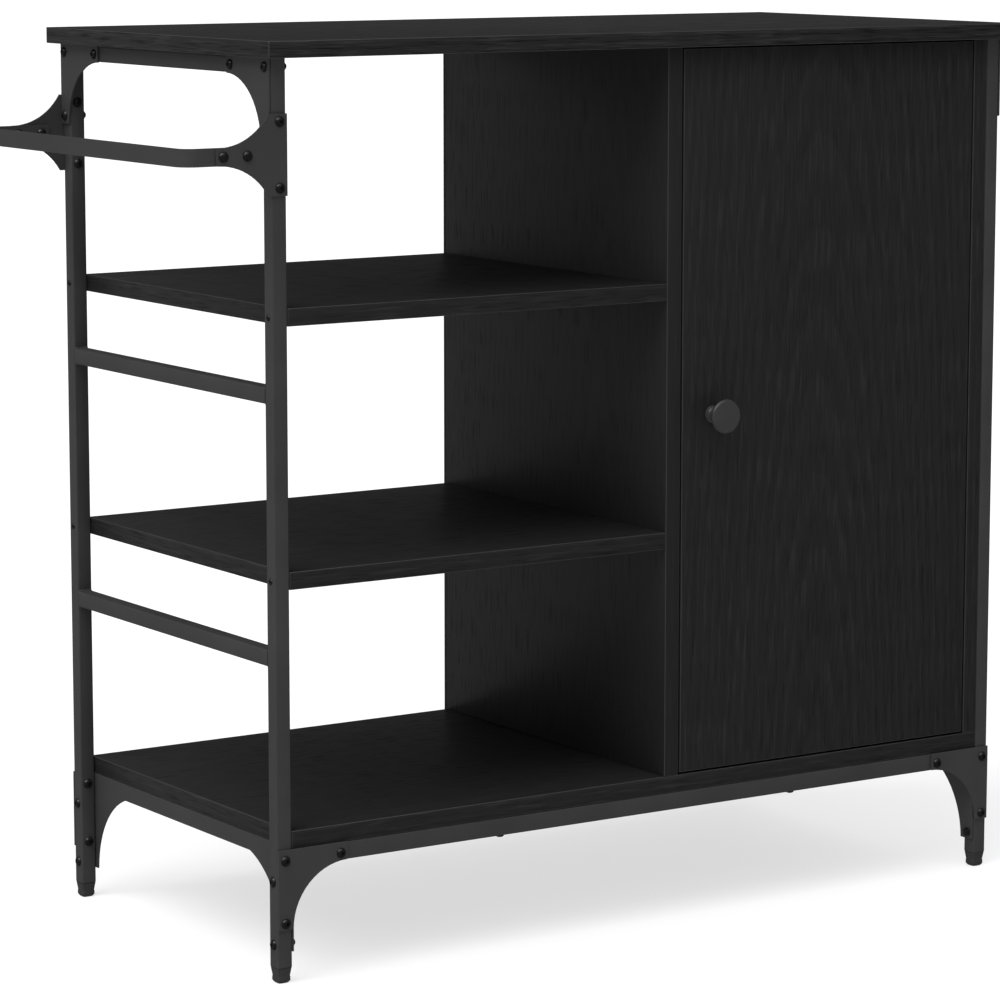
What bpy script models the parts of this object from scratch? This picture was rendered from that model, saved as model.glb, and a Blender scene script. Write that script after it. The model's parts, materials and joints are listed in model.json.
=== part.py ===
"""Kitchen island cart: two square-tube side frames, a worktop, open shelves and a cabinet.

Run with: blender --background --python part.py

The design frame has its origin on the floor, at the outer front left corner of the front
left post. X runs to the right, Y to the back and Z up. Sizes are in millimetres, and the
helpers turn them into Blender's metres. The empty "cart_centre" then moves the design frame
so that the cart stands centred on the world origin.
"""
import bpy
import bmesh
from math import asin, cos, degrees, pi, radians, sin
from mathutils import Matrix, Vector

MM = 0.001
GAP = 0.3                      # room between pieces that touch

# Overall sizes
HEIGHT = 845.0
FRAME_WIDTH = 823.5            # over the posts
FRAME_DEPTH = 394.0            # over the posts

# Steel
TUBE = 15.0                    # square tube of the posts and side rails
TUBE_WALL = 1.2
TUBE_CORNER = 1.6              # outer corner radius of the tube
BORE_CORNER = 0.6              # inner corner radius of the tube
PLATE = 1.8                    # sheet of the corner plates, gussets and brackets
PLATE_INSET = 0.2              # a plate's outer edge, in from the post's corner
PLATE_LAP = 0.7                # a plate's hollow arc ends just past the tube's edge

# Boards
TOP_THICKNESS = 15.0
TOP_LEFT = -9.7
TOP_RIGHT = 837.2
TOP_FRONT = -13.9
TOP_BACK = 408.0
BOARD = 16.0
BOARD_BACK = 386.0             # the inner boards stop short of the posts' rear faces
SHELF_TOPS = (610.2, 374.9)
FLOOR_TOP = 139.6              # upper face of the bottom board
DIVIDER_LEFT = 425.5
BACK_PANEL = 3.0
EDGE_ROUND = 0.6               # rounding of the boards' edges

# Side frames
MIDDLE_RAIL_BOTTOMS = (525.0, 289.0)
POST_FOOT = 14.5               # height of the posts' lower ends
FOOT_CORNER = 2.2              # corner radius of the plastic feet
SIDE_PLATE_FOOT = 28.6         # lower end of the side plates' wings
SIDE_PLATE_ARCH = 107.0        # underside of the side plates between the wings
SIDE_PLATE_RADIUS = 84.0
SIDE_PLATE_WING = 18.0         # width of a wing at its lower end

# Bottom rails and corner plates
RAIL_BOTTOM = 106.3
CORNER_RADIUS = 57.0
CORNER_REACH = 72.5            # length of a corner plate along the rail
CORNER_FOOT = 49.6             # lower end of a corner plate on its post
RAIL_SCREW_X = (243.0, 581.0)
RAIL_SCREW_RADIUS = 2.0

# Upper gussets
GUSSET_RADIUS = 60.0

# Handle
HANDLE_LEFT = -88.0            # outer face of the bar
HANDLE_BAR = 3.0               # thickness of the bar
HANDLE_HEIGHT = 16.0           # height of the bar
HANDLE_Z = 745.5               # middle of the bar
HANDLE_BEND = 15.0             # outer radius of the bar's corners
HANDLE_END = -17.0             # where the bar's two legs end
BRACKET_HALF = 36.0            # half the height of a bracket on its post
BRACKET_TIP = -56.0            # end of a bracket's arm
BRACKET_ARM_END = -52.7        # where the arm's curved edges meet the bar's edges
HANDLE_BOLT_X = (-25.0, -49.0)
BOLT_RADIUS = 2.4
BOLT_HEAD = (4.8, 3.0)         # radius and height of a domed head
BOLT_NUT = (4.6, 2.6)          # radius over the corners and height

# Door and cabinet
DOOR_GAP = 2.0
DOOR_KNOB_X = 478.0
DOOR_KNOB_Z = 484.0
KNOB_RADIUS = 16.2
KNOB_LENGTH = 26.0
HINGE_INSET = 90.0             # hinge centres from the door's ends
CUP_RADIUS = 17.5
CUP_INSET = 21.5               # cup centre from the door's edge
CUP_DEPTH = 11.0
CABINET_SHELF_BOTTOM = 474.0
CABINET_SHELF_SETBACK = 24.0   # from the front edges of the panels
PIN_RADIUS = 2.5
PIN_LENGTH = 16.0
PIN_SETBACKS = (60.0, 336.0)   # the pins' places along Y
KNOB_SCREW_RADIUS = 2.0
CATCH_DROP = 90.0              # lower end of the strike plate below the door's top

# Sizes that follow from the ones above
TOP_BOTTOM = HEIGHT - TOP_THICKNESS
REAR_POST = FRAME_DEPTH - TUBE
RIGHT_POST = FRAME_WIDTH - TUBE
DIVIDER_RIGHT = DIVIDER_LEFT + BOARD
BOARD_LEFT = TUBE + GAP
BOARD_RIGHT = RIGHT_POST - GAP
SIDE_PANEL_LEFT = BOARD_RIGHT - BOARD
FLOOR_BOTTOM = FLOOR_TOP - BOARD
DOOR_LEFT = DIVIDER_RIGHT + DOOR_GAP
DOOR_RIGHT = SIDE_PANEL_LEFT - DOOR_GAP
DOOR_BOTTOM = FLOOR_TOP + DOOR_GAP
DOOR_TOP = TOP_BOTTOM - DOOR_GAP
HINGE_AXIS = Vector((DOOR_RIGHT + 0.5, -0.5, 0.0))
HINGE_HEIGHTS = {"upper": DOOR_TOP - HINGE_INSET, "lower": DOOR_BOTTOM + HINGE_INSET}
CUP_X = DOOR_RIGHT - CUP_INSET
CENTRE = Vector(((HANDLE_LEFT + TOP_RIGHT) / 2, (TOP_BACK - KNOB_LENGTH - GAP) / 2, 0.0))


# ---------------------------------------------------------------------------------------
# Scene, collections and materials
# ---------------------------------------------------------------------------------------

for old in list(bpy.data.objects):
    bpy.data.objects.remove(old, do_unlink=True)

cart = bpy.data.collections.new("kitchen_island_cart")
cutters = bpy.data.collections.new("cutters")
bpy.context.scene.collection.children.link(cart)
bpy.context.scene.collection.children.link(cutters)

# colour, roughness and metallic value of each finish
FINISHES = {
    "black_oak": ((0.030, 0.030, 0.031, 1.0), 0.50, 0.0),
    "black_steel": ((0.045, 0.045, 0.047, 1.0), 0.45, 0.3),
    "black_plastic": ((0.020, 0.020, 0.020, 1.0), 0.55, 0.0),
    "nickel_steel": ((0.600, 0.600, 0.590, 1.0), 0.30, 1.0),
    "black_hardboard": ((0.025, 0.025, 0.025, 1.0), 0.70, 0.0),
}


def finish(name, kind):
    """One Principled material for the piece, in one of the cart's finishes."""
    colour, roughness, metallic = FINISHES[kind]
    material = bpy.data.materials.new(name + "_" + kind)
    material.use_nodes = True
    shader = material.node_tree.nodes["Principled BSDF"]
    shader.inputs["Base Color"].default_value = colour
    shader.inputs["Roughness"].default_value = roughness
    shader.inputs["Metallic"].default_value = metallic
    material.diffuse_color = colour
    return material


def empty(name, place_mm, parent=None):
    """An empty at a place in the design frame."""
    holder = bpy.data.objects.new(name, None)
    cart.objects.link(holder)
    holder.empty_display_size = 0.05
    holder.location = Vector(place_mm) * MM
    if parent is not None:
        holder.parent = parent
    return holder


cart_centre = empty("cart_centre", -CENTRE)
door_axis = empty("door_axis", HINGE_AXIS, cart_centre)


def add_piece(name, mesh, place_mm, kind, turn=None, on_door=False):
    """Name a mesh as a piece, put it at its place and hang it on the frame or the door."""
    piece = bpy.data.objects.new(name, mesh)
    cart.objects.link(piece)
    piece.parent = door_axis if on_door else cart_centre
    place = Vector(place_mm) - (HINGE_AXIS if on_door else Vector())
    piece.location = place * MM
    if turn is not None:
        piece.rotation_euler = turn
    piece.data.materials.append(finish(name, kind))
    return piece


# ---------------------------------------------------------------------------------------
# Shapes
# ---------------------------------------------------------------------------------------

def box_mesh(name, size_mm):
    """A box centred on its own origin."""
    mesh = bpy.data.meshes.new(name)
    shape = bmesh.new()
    bmesh.ops.create_cube(shape, size=1.0, matrix=Matrix.Diagonal((*(Vector(size_mm) * MM), 1.0)))
    shape.to_mesh(mesh)
    shape.free()
    return mesh


def add_box(name, low, high, kind, on_door=False, edge=0.0):
    """A box between two corners, with an optional rounding of its edges."""
    low, high = Vector(low), Vector(high)
    piece = add_piece(name, box_mesh(name, high - low), (low + high) / 2, kind, on_door=on_door)
    if edge:
        bevel = piece.modifiers.new("rounded edges", "BEVEL")
        bevel.width = edge * MM
        bevel.segments = 2
    return piece


def add_board(name, low, high, kind="black_oak", on_door=False):
    """A board with softened edges."""
    return add_box(name, low, high, kind, on_door=on_door, edge=EDGE_ROUND)


def arc(centre, radius, start, end, steps):
    """Points on an arc, from the start to the end angle in degrees."""
    points = []
    for step in range(steps + 1):
        angle = radians(start + (end - start) * step / steps)
        points.append((centre[0] + radius * cos(angle), centre[1] + radius * sin(angle)))
    return points


def rounded_square(low, high, radius, steps=3):
    """The outline of a rectangle with round corners, anticlockwise."""
    (x0, y0), (x1, y1) = low, high
    corners = (((x1 - radius, y0 + radius), -90), ((x1 - radius, y1 - radius), 0),
               ((x0 + radius, y1 - radius), 90), ((x0 + radius, y0 + radius), 180))
    points = []
    for centre, start in corners:
        points += arc(centre, radius, start, start + 90, steps)
    return points


def extruded_mesh(name, outlines, depth):
    """A flat outline, with holes if more outlines follow, given a thickness in millimetres."""
    curve = bpy.data.curves.new(name, "CURVE")
    curve.dimensions = "2D"
    curve.fill_mode = "BOTH"
    curve.extrude = depth * MM / 2
    for outline in outlines:
        spline = curve.splines.new("POLY")
        spline.points.add(len(outline) - 1)
        for point, (x, y) in zip(spline.points, outline):
            point.co = (x * MM, y * MM, 0.0, 1.0)
        spline.use_cyclic_u = True
    source = bpy.data.objects.new(name + "_outline", curve)
    bpy.context.scene.collection.objects.link(source)
    bpy.context.view_layer.update()
    mesh = bpy.data.meshes.new_from_object(source.evaluated_get(bpy.context.evaluated_depsgraph_get()))
    bpy.data.objects.remove(source, do_unlink=True)
    shape = bmesh.new()
    shape.from_mesh(mesh)
    bmesh.ops.remove_doubles(shape, verts=shape.verts, dist=0.00001)
    bmesh.ops.recalc_face_normals(shape, faces=shape.faces)
    shape.to_mesh(mesh)
    shape.free()
    mesh.name = name
    return mesh


# Turns that lay an outline drawn in X and Y on another plane
OUTLINE_TO_XZ = (pi / 2, 0.0, 0.0)         # Y becomes Z, the thickness runs along Y
OUTLINE_TO_YZ = (pi / 2, 0.0, pi / 2)      # X becomes Y, Y becomes Z, the thickness runs along X


def turned_mesh(name, profile, steps=32):
    """A turned shape about Z from (radius, height) points that run from top to bottom."""
    mesh = bpy.data.meshes.new(name)
    shape = bmesh.new()
    verts = [shape.verts.new((radius * MM, 0.0, height * MM)) for radius, height in profile]
    for first, second in zip(verts, verts[1:]):
        shape.edges.new((first, second))
    shape.to_mesh(mesh)
    shape.free()
    source = bpy.data.objects.new(name + "_profile", mesh)
    bpy.context.scene.collection.objects.link(source)
    screw = source.modifiers.new("turn", "SCREW")
    screw.steps = steps
    screw.render_steps = steps
    screw.use_merge_vertices = True
    screw.merge_threshold = 0.00001
    screw.use_normal_calculate = True
    bpy.context.view_layer.update()
    turned = bpy.data.meshes.new_from_object(
        source.evaluated_get(bpy.context.evaluated_depsgraph_get()))
    bpy.data.objects.remove(source, do_unlink=True)
    shape = bmesh.new()
    shape.from_mesh(turned)
    bmesh.ops.remove_doubles(shape, verts=shape.verts, dist=0.00001)
    bmesh.ops.recalc_face_normals(shape, faces=shape.faces)
    shape.to_mesh(turned)
    shape.free()
    turned.name = name
    turned.shade_smooth()
    turned.set_sharp_from_angle(angle=radians(30))
    return turned


def cylinder_mesh(name, radius, length, segments=24):
    """A cylinder along Z, centred on its own origin."""
    mesh = bpy.data.meshes.new(name)
    shape = bmesh.new()
    bmesh.ops.create_cone(shape, cap_ends=True, segments=segments, radius1=radius * MM,
                          radius2=radius * MM, depth=length * MM)
    shape.to_mesh(mesh)
    shape.free()
    return mesh


def change(piece, tool, operation):
    """Add a Boolean modifier that joins or cuts the piece with a tool object."""
    tool.hide_render = True
    tool.display_type = "WIRE"
    boolean = piece.modifiers.new(operation.lower(), "BOOLEAN")
    boolean.operation = operation
    boolean.solver = "EXACT"
    boolean.object = tool


def tool_object(name, mesh, place_mm, turn=(0.0, 0.0, 0.0)):
    """A guide for a Boolean, placed in the design frame."""
    tool = bpy.data.objects.new(name, mesh)
    cutters.objects.link(tool)
    tool.parent = cart_centre
    tool.location = Vector(place_mm) * MM
    tool.rotation_euler = turn
    return tool


def drill(piece, place_mm, radius, length, axis="Z"):
    """Cut a round hole whose middle is at a place in the design frame."""
    turn = {"X": (0.0, pi / 2, 0.0), "Y": (pi / 2, 0.0, 0.0), "Z": (0.0, 0.0, 0.0)}[axis]
    mesh = cylinder_mesh(piece.name + "_drill", radius, length)
    change(piece, tool_object(piece.name + "_drill", mesh, place_mm, turn), "DIFFERENCE")


# ---------------------------------------------------------------------------------------
# Steel side frames
# ---------------------------------------------------------------------------------------

def tube_outlines():
    """The section of the square tube, centred: its outer outline and its bore."""
    half = TUBE / 2
    bore = half - TUBE_WALL
    outer = rounded_square((-half, -half), (half, half), TUBE_CORNER)
    inner = rounded_square((-bore, -bore), (bore, bore), BORE_CORNER, steps=1)
    return [outer, inner]


def add_post(name, x, y):
    """An upright of square tube, from above its foot to under the worktop."""
    top = TOP_BOTTOM - GAP
    mesh = extruded_mesh(name, tube_outlines(), top - POST_FOOT)
    return add_piece(name, mesh, (x + TUBE / 2, y + TUBE / 2, (top + POST_FOOT) / 2), "black_steel")


def add_side_rail(name, x, bottom):
    """A square tube that runs from the front post to the rear post of a side frame."""
    mesh = extruded_mesh(name, tube_outlines(), REAR_POST - TUBE - 2 * GAP)
    middle = (x + TUBE / 2, FRAME_DEPTH / 2, bottom + TUBE / 2)
    return add_piece(name, mesh, middle, "black_steel", turn=OUTLINE_TO_XZ)


def side_plate_outline():
    """The arched plate of a side frame in Y and Z: a rail with a wing down each post."""
    edge_inset, centre_drop, steps = 0.5, 1.6, 14
    foot, top = SIDE_PLATE_FOOT, FLOOR_BOTTOM - GAP
    centre = (SIDE_PLATE_WING + SIDE_PLATE_RADIUS, foot - centre_drop)
    crown = 180 - degrees(asin((SIDE_PLATE_ARCH - centre[1]) / SIDE_PLATE_RADIUS))
    foot_angle = 180 - degrees(asin(centre_drop / SIDE_PLATE_RADIUS))
    front = arc(centre, SIDE_PLATE_RADIUS, foot_angle, crown, steps)
    rear = [(FRAME_DEPTH - y, z) for y, z in reversed(front)]
    return ([(edge_inset, top), (edge_inset, foot)] + front + rear
            + [(FRAME_DEPTH - edge_inset, foot), (FRAME_DEPTH - edge_inset, top)])


def add_side_plate(name, x):
    """The arched bottom plate on the inner faces of a side frame's posts."""
    mesh = extruded_mesh(name, [side_plate_outline()], PLATE)
    return add_piece(name, mesh, (x + PLATE / 2, 0.0, 0.0), "black_steel", turn=OUTLINE_TO_YZ)


def gusset_outline(to_rear):
    """An upper gusset in Y and Z, with its hollow arc towards the side opening."""
    top = TOP_BOTTOM - GAP
    under_rail = TOP_BOTTOM - TUBE - PLATE_LAP
    reach = TUBE + GUSSET_RADIUS
    centre = (reach, under_rail - GUSSET_RADIUS)
    hollow = arc(centre, GUSSET_RADIUS, 180, 90, 14)
    front = [(PLATE_INSET, top), (PLATE_INSET, centre[1])] + hollow + [(reach, top)]
    if to_rear:
        return [(FRAME_DEPTH - y, z) for y, z in reversed(front)]
    return front


def add_foot(name, x, y):
    """A plastic foot: a shank in the tube, a tapered collar and a glide."""
    half = TUBE / 2
    shank, shank_top = half - TUBE_WALL - GAP, 32.0
    collar_top = POST_FOOT - GAP
    neck, neck_height = half - 1.2, 6.4
    glide, glide_top, glide_bottom = half - 0.9, 5.6, 2.2
    sole = half - 2.6
    levels = ((shank, shank_top), (shank, collar_top), (half, collar_top), (neck, neck_height),
              (glide, glide_top), (glide, glide_bottom), (sole, 0.0))
    mesh = bpy.data.meshes.new(name)
    shape = bmesh.new()
    rings = []
    for size, height in levels:
        outline = rounded_square((-size, -size), (size, size), FOOT_CORNER)
        rings.append([shape.verts.new((px * MM, py * MM, height * MM)) for px, py in outline])
    for upper, lower in zip(rings, rings[1:]):
        for corner in range(len(upper)):
            after = (corner + 1) % len(upper)
            shape.faces.new((upper[corner], lower[corner], lower[after], upper[after]))
    shape.faces.new(rings[0])
    shape.faces.new(rings[-1][::-1])
    bmesh.ops.recalc_face_normals(shape, faces=shape.faces)
    shape.to_mesh(mesh)
    shape.free()
    return add_piece(name, mesh, (x + half, y + half, 0.0), "black_plastic")


def add_side_frames():
    """Posts, feet, side rails, side plates and gussets of the left and right frames."""
    sides = {
        "left": {"post": 0.0, "plate": TUBE + GAP, "gusset": -GAP - PLATE},
        "right": {"post": RIGHT_POST, "plate": RIGHT_POST - GAP - PLATE,
                  "gusset": FRAME_WIDTH + GAP},
    }
    for side, place in sides.items():
        for end, y in (("front", 0.0), ("rear", REAR_POST)):
            add_post(f"{end}_{side}_post", place["post"], y)
            add_foot(f"{end}_{side}_foot", place["post"], y)
            mesh = extruded_mesh(f"{end}_{side}_gusset", [gusset_outline(end == "rear")], PLATE)
            add_piece(f"{end}_{side}_gusset", mesh, (place["gusset"] + PLATE / 2, 0.0, 0.0),
                      "black_steel", turn=OUTLINE_TO_YZ)
        add_side_rail(f"{side}_top_rail", place["post"], TOP_BOTTOM - GAP - TUBE)
        for level, bottom in zip(("upper", "lower"), MIDDLE_RAIL_BOTTOMS):
            add_side_rail(f"{side}_{level}_rail", place["post"], bottom)
        add_side_plate(f"{side}_bottom_plate", place["plate"])


# ---------------------------------------------------------------------------------------
# Bottom rails, corner plates and rail screws
# ---------------------------------------------------------------------------------------

def add_bottom_rail(name, y):
    """A rectangular tube under the bottom board, between the two side plates."""
    low = TUBE + PLATE + 2 * GAP
    high = FRAME_WIDTH - low
    height = FLOOR_BOTTOM - GAP - RAIL_BOTTOM
    outer = rounded_square((-TUBE / 2, -height / 2), (TUBE / 2, height / 2), TUBE_CORNER)
    bore = (TUBE / 2 - TUBE_WALL, height / 2 - TUBE_WALL)
    inner = rounded_square((-bore[0], -bore[1]), bore, BORE_CORNER, steps=1)
    mesh = extruded_mesh(name, [outer, inner], high - low)
    middle = (FRAME_WIDTH / 2, y + TUBE / 2, RAIL_BOTTOM + height / 2)
    return add_piece(name, mesh, middle, "black_steel", turn=OUTLINE_TO_YZ)


def corner_plate_outline(to_right):
    """A lower corner plate in X and Z: a strip along the rail and one down the post."""
    top = FLOOR_BOTTOM
    centre = (CORNER_REACH, RAIL_BOTTOM + PLATE_LAP - CORNER_RADIUS)
    hollow = arc(centre, CORNER_RADIUS, 180, 90, 14)
    left = [(PLATE_INSET, top), (PLATE_INSET, CORNER_FOOT)] + hollow + [(CORNER_REACH, top)]
    if to_right:
        return [(FRAME_WIDTH - x, z) for x, z in reversed(left)]
    return left


def add_corner_plates():
    """Four plates on the front and rear faces of the posts."""
    for end, y in (("front", -GAP - PLATE / 2), ("rear", FRAME_DEPTH + GAP + PLATE / 2)):
        for side in ("left", "right"):
            name = f"{end}_{side}_corner_plate"
            mesh = extruded_mesh(name, [corner_plate_outline(side == "right")], PLATE)
            add_piece(name, mesh, (0.0, y, 0.0), "black_steel", turn=OUTLINE_TO_XZ)


def add_rail_screws(rail, floor_board):
    """Two screws from below, through the front rail into the bottom board."""
    shank, head, seat = RAIL_SCREW_RADIUS, 2 * RAIL_SCREW_RADIUS, RAIL_BOTTOM - GAP
    depth_in_board, head_edge, head_height = 10.0, 1.2, 2.2
    tip = FLOOR_BOTTOM + depth_in_board
    profile = [(0.0, tip), (shank, tip - 2.0), (shank, seat), (head, seat), (head, seat - head_edge),
               (head - 1.2, seat - head_height), (0.0, seat - head_height)]
    for number, x in enumerate(RAIL_SCREW_X):
        name = f"rail_screw_{number + 1}"
        add_piece(name, turned_mesh(name, profile, 20), (x, TUBE / 2, 0.0), "black_steel")
        drill(rail, (x, TUBE / 2, (seat + tip) / 2), shank + GAP, tip - seat + 6.0)
        drill(floor_board, (x, TUBE / 2, FLOOR_BOTTOM + 4.0), shank + GAP, 14.0)


# ---------------------------------------------------------------------------------------
# Handle
# ---------------------------------------------------------------------------------------

def handle_outline():
    """The bar seen from above: a flat strip bent to a U, its legs flush with the posts."""
    outer, inner = HANDLE_BEND, HANDLE_BEND - HANDLE_BAR
    far, left = FRAME_DEPTH, HANDLE_LEFT
    front, rear = (left + outer, outer), (left + outer, far - outer)
    inside = arc(front, inner, 270, 180, 8) + arc(rear, inner, 180, 90, 8)
    outside = arc(rear, outer, 90, 180, 8) + arc(front, outer, 180, 270, 8)
    return ([(HANDLE_END, 0.0), (HANDLE_END, HANDLE_BAR)] + inside
            + [(HANDLE_END, far - HANDLE_BAR), (HANDLE_END, far)] + outside)


def bracket_outline():
    """A handle bracket in X and Z: a pad on the post and an arm that narrows to the bar."""
    half, pad_left, tip_corner = HANDLE_HEIGHT / 2, -4.0, 2.0
    sweep = degrees(asin((pad_left - BRACKET_ARM_END) / CORNER_RADIUS))
    centre = (BRACKET_ARM_END, HANDLE_Z + half + CORNER_RADIUS)
    upper = arc(centre, CORNER_RADIUS, 270 + sweep, 270, 12)
    lower = [(x, 2 * HANDLE_Z - z) for x, z in reversed(upper)]
    upper_corner = arc((BRACKET_TIP + tip_corner, HANDLE_Z + half - tip_corner), tip_corner, 90, 180, 3)
    lower_corner = [(x, 2 * HANDLE_Z - z) for x, z in reversed(upper_corner)]
    return ([(TUBE, HANDLE_Z + BRACKET_HALF), (pad_left, HANDLE_Z + BRACKET_HALF)]
            + upper + upper_corner + lower_corner + lower
            + [(pad_left, HANDLE_Z - BRACKET_HALF), (TUBE, HANDLE_Z - BRACKET_HALF)])


def add_handle_bolt(name, x, seat):
    """A dome-headed bolt through bracket and bar; the nut sits on the seat, behind them."""
    under_head = PLATE + HANDLE_BAR + 3 * GAP
    thread_end = 3.5
    radius, height = BOLT_HEAD
    dome = [(radius * sin(radians(angle)), under_head + height * cos(radians(angle)))
            for angle in range(0, 91, 15)]
    profile = dome + [(BOLT_RADIUS, under_head), (BOLT_RADIUS, -thread_end), (0.0, -thread_end)]
    forwards = (pi / 2, 0.0, 0.0)
    bolt = add_piece(name, turned_mesh(name, profile, 20), (x, seat, HANDLE_Z), "black_steel",
                     turn=forwards)
    nut_mesh = cylinder_mesh(name + "_nut", *BOLT_NUT, segments=6)
    nut = tool_object(name + "_nut", nut_mesh, (x, seat + BOLT_NUT[1] / 2, HANDLE_Z), forwards)
    change(bolt, nut, "UNION")


def add_handle():
    """The bar, its two brackets and the four bolts that join them."""
    bar_mesh = extruded_mesh("handle_bar", [handle_outline()], HANDLE_HEIGHT)
    bar = add_piece("handle_bar", bar_mesh, (0.0, 0.0, HANDLE_Z), "black_steel")
    hole = BOLT_RADIUS + GAP
    drill_length = 8.0
    ends = {
        "front": {"y": -GAP - PLATE / 2, "bar": HANDLE_BAR / 2, "nut": HANDLE_BAR + GAP},
        "rear": {"y": FRAME_DEPTH + GAP + PLATE / 2, "bar": FRAME_DEPTH - HANDLE_BAR / 2,
                 "nut": FRAME_DEPTH + 2 * GAP + PLATE},
    }
    for end, place in ends.items():
        mesh = extruded_mesh(f"{end}_handle_bracket", [bracket_outline()], PLATE)
        bracket = add_piece(f"{end}_handle_bracket", mesh, (0.0, place["y"], 0.0), "black_steel",
                            turn=OUTLINE_TO_XZ)
        for number, x in enumerate(HANDLE_BOLT_X):
            drill(bracket, (x, place["y"], HANDLE_Z), hole, drill_length, axis="Y")
            drill(bar, (x, place["bar"], HANDLE_Z), hole, drill_length, axis="Y")
            add_handle_bolt(f"{end}_handle_bolt_{number + 1}", x, place["nut"])


# ---------------------------------------------------------------------------------------
# Boards
# ---------------------------------------------------------------------------------------

def add_boards():
    """The worktop, bottom board, shelves and upright panels; returns those that are drilled."""
    add_board("worktop", (TOP_LEFT, TOP_FRONT, TOP_BOTTOM), (TOP_RIGHT, TOP_BACK, HEIGHT))
    floor_board = add_board("bottom_board", (BOARD_LEFT, 0.0, FLOOR_BOTTOM),
                            (BOARD_RIGHT, BOARD_BACK, FLOOR_TOP))
    for level, top in zip(("upper", "lower"), SHELF_TOPS):
        add_board(f"{level}_shelf", (BOARD_LEFT, 0.0, top - BOARD),
                  (DIVIDER_LEFT - GAP, BOARD_BACK, top))
    divider = add_board("divider_panel", (DIVIDER_LEFT, 0.0, FLOOR_TOP + GAP),
                        (DIVIDER_RIGHT, BOARD_BACK, TOP_BOTTOM - GAP))
    side = add_board("right_side_panel", (SIDE_PANEL_LEFT, 0.0, FLOOR_TOP + GAP),
                     (BOARD_RIGHT, BOARD_BACK, TOP_BOTTOM - GAP))
    add_box("back_panel", (DIVIDER_LEFT, BOARD_BACK + GAP, FLOOR_BOTTOM),
            (BOARD_RIGHT, BOARD_BACK + GAP + BACK_PANEL, TOP_BOTTOM - GAP), "black_hardboard")
    return floor_board, divider, side


def add_cabinet_shelf(divider, side):
    """A shelf inside the cabinet that rests on four pins in the two uprights."""
    low, side_room, rear_room = CABINET_SHELF_BOTTOM, 1.0, 4.0
    add_board("cabinet_shelf", (DIVIDER_RIGHT + side_room, CABINET_SHELF_SETBACK, low),
              (SIDE_PANEL_LEFT - side_room, BOARD_BACK - rear_room, low + BOARD))
    pin_z = low - GAP - PIN_RADIUS
    for end, y in zip(("front", "rear"), PIN_SETBACKS):
        for hand, panel, x in (("left", divider, DIVIDER_RIGHT), ("right", side, SIDE_PANEL_LEFT)):
            name = f"{end}_{hand}_shelf_pin"
            pin = add_piece(name, cylinder_mesh(name, PIN_RADIUS, PIN_LENGTH, 20),
                            (x, y, pin_z), "nickel_steel", turn=(0.0, pi / 2, 0.0))
            bevel = pin.modifiers.new("rounded ends", "BEVEL")
            bevel.width = 0.5 * MM
            bevel.segments = 1
            bevel.limit_method = "ANGLE"
            drill(panel, (x, y, pin_z), PIN_RADIUS + GAP, PIN_LENGTH + 2 * GAP, axis="X")


# ---------------------------------------------------------------------------------------
# Door and its hardware
# ---------------------------------------------------------------------------------------

def add_knob(door):
    """A round knob with a flared neck, and the screw that holds it through the door."""
    rim, face = KNOB_RADIUS, KNOB_LENGTH
    bore, bore_depth, flange, neck = KNOB_SCREW_RADIUS + GAP, 14.0, 8.2, 5.4
    profile = [(0.0, face), (rim * 0.55, face - 0.25), (rim - 2.6, face - 0.9),
               (rim - 0.9, face - 1.9), (rim, face - 3.6), (rim - 0.3, face - 5.2),
               (rim - 2.4, face - 7.0), (rim - 6.0, face - 9.4), (neck + 1.0, face - 12.0),
               (neck, face - 15.0), (neck, 6.0), (neck + 0.8, 3.4), (flange, 2.2), (flange, 0.0),
               (bore, 0.0), (bore, bore_depth), (0.0, bore_depth)]
    outwards = (pi / 2, 0.0, 0.0)
    add_piece("knob", turned_mesh("knob", profile, 40), (DOOR_KNOB_X, -GAP, DOOR_KNOB_Z),
              "black_steel", turn=outwards, on_door=True)
    screw, head, seat, tip = KNOB_SCREW_RADIUS, 4.2, BOARD + GAP, 10.0
    profile = [(0.0, tip), (screw, tip - 1.5), (screw, -seat), (head, -seat), (head, -seat - 1.0),
               (head - 1.2, -seat - 2.0), (0.0, -seat - 2.0)]
    add_piece("knob_screw", turned_mesh("knob_screw", profile, 20),
              (DOOR_KNOB_X, 0.0, DOOR_KNOB_Z), "nickel_steel", turn=outwards, on_door=True)
    drill(door, (DOOR_KNOB_X, BOARD / 2, DOOR_KNOB_Z), screw + GAP, BOARD + 4.0, axis="Y")


def add_hinge_cup(name, z, door):
    """A hinge cup sunk in the door, with a flange and two screw ears on the door's inner face."""
    wall, flange, sheet = 1.0, 1.5, 1.2
    top, inner = GAP + sheet, CUP_RADIUS - wall
    profile = [(0.0, wall - CUP_DEPTH), (inner, wall - CUP_DEPTH), (inner, top),
               (CUP_RADIUS + flange, top), (CUP_RADIUS + flange, GAP), (CUP_RADIUS, GAP),
               (CUP_RADIUS, -CUP_DEPTH), (0.0, -CUP_DEPTH)]
    inwards = (-pi / 2, 0.0, 0.0)
    cup = add_piece(name, turned_mesh(name, profile, 32), (CUP_X, BOARD, z), "nickel_steel",
                    turn=inwards, on_door=True)
    ear_width, ear_height, ear_offset = 13.0, 11.0, CUP_RADIUS + 5.0
    for side in (-1, 1):
        ear = tool_object(name + "_ear", box_mesh(name + "_ear", (ear_width, sheet, ear_height)),
                          (CUP_X, BOARD + GAP + sheet / 2, z + side * ear_offset))
        change(cup, ear, "UNION")
    drill(door, (CUP_X, BOARD, z), CUP_RADIUS + GAP, 2 * (CUP_DEPTH + GAP), axis="Y")


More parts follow.
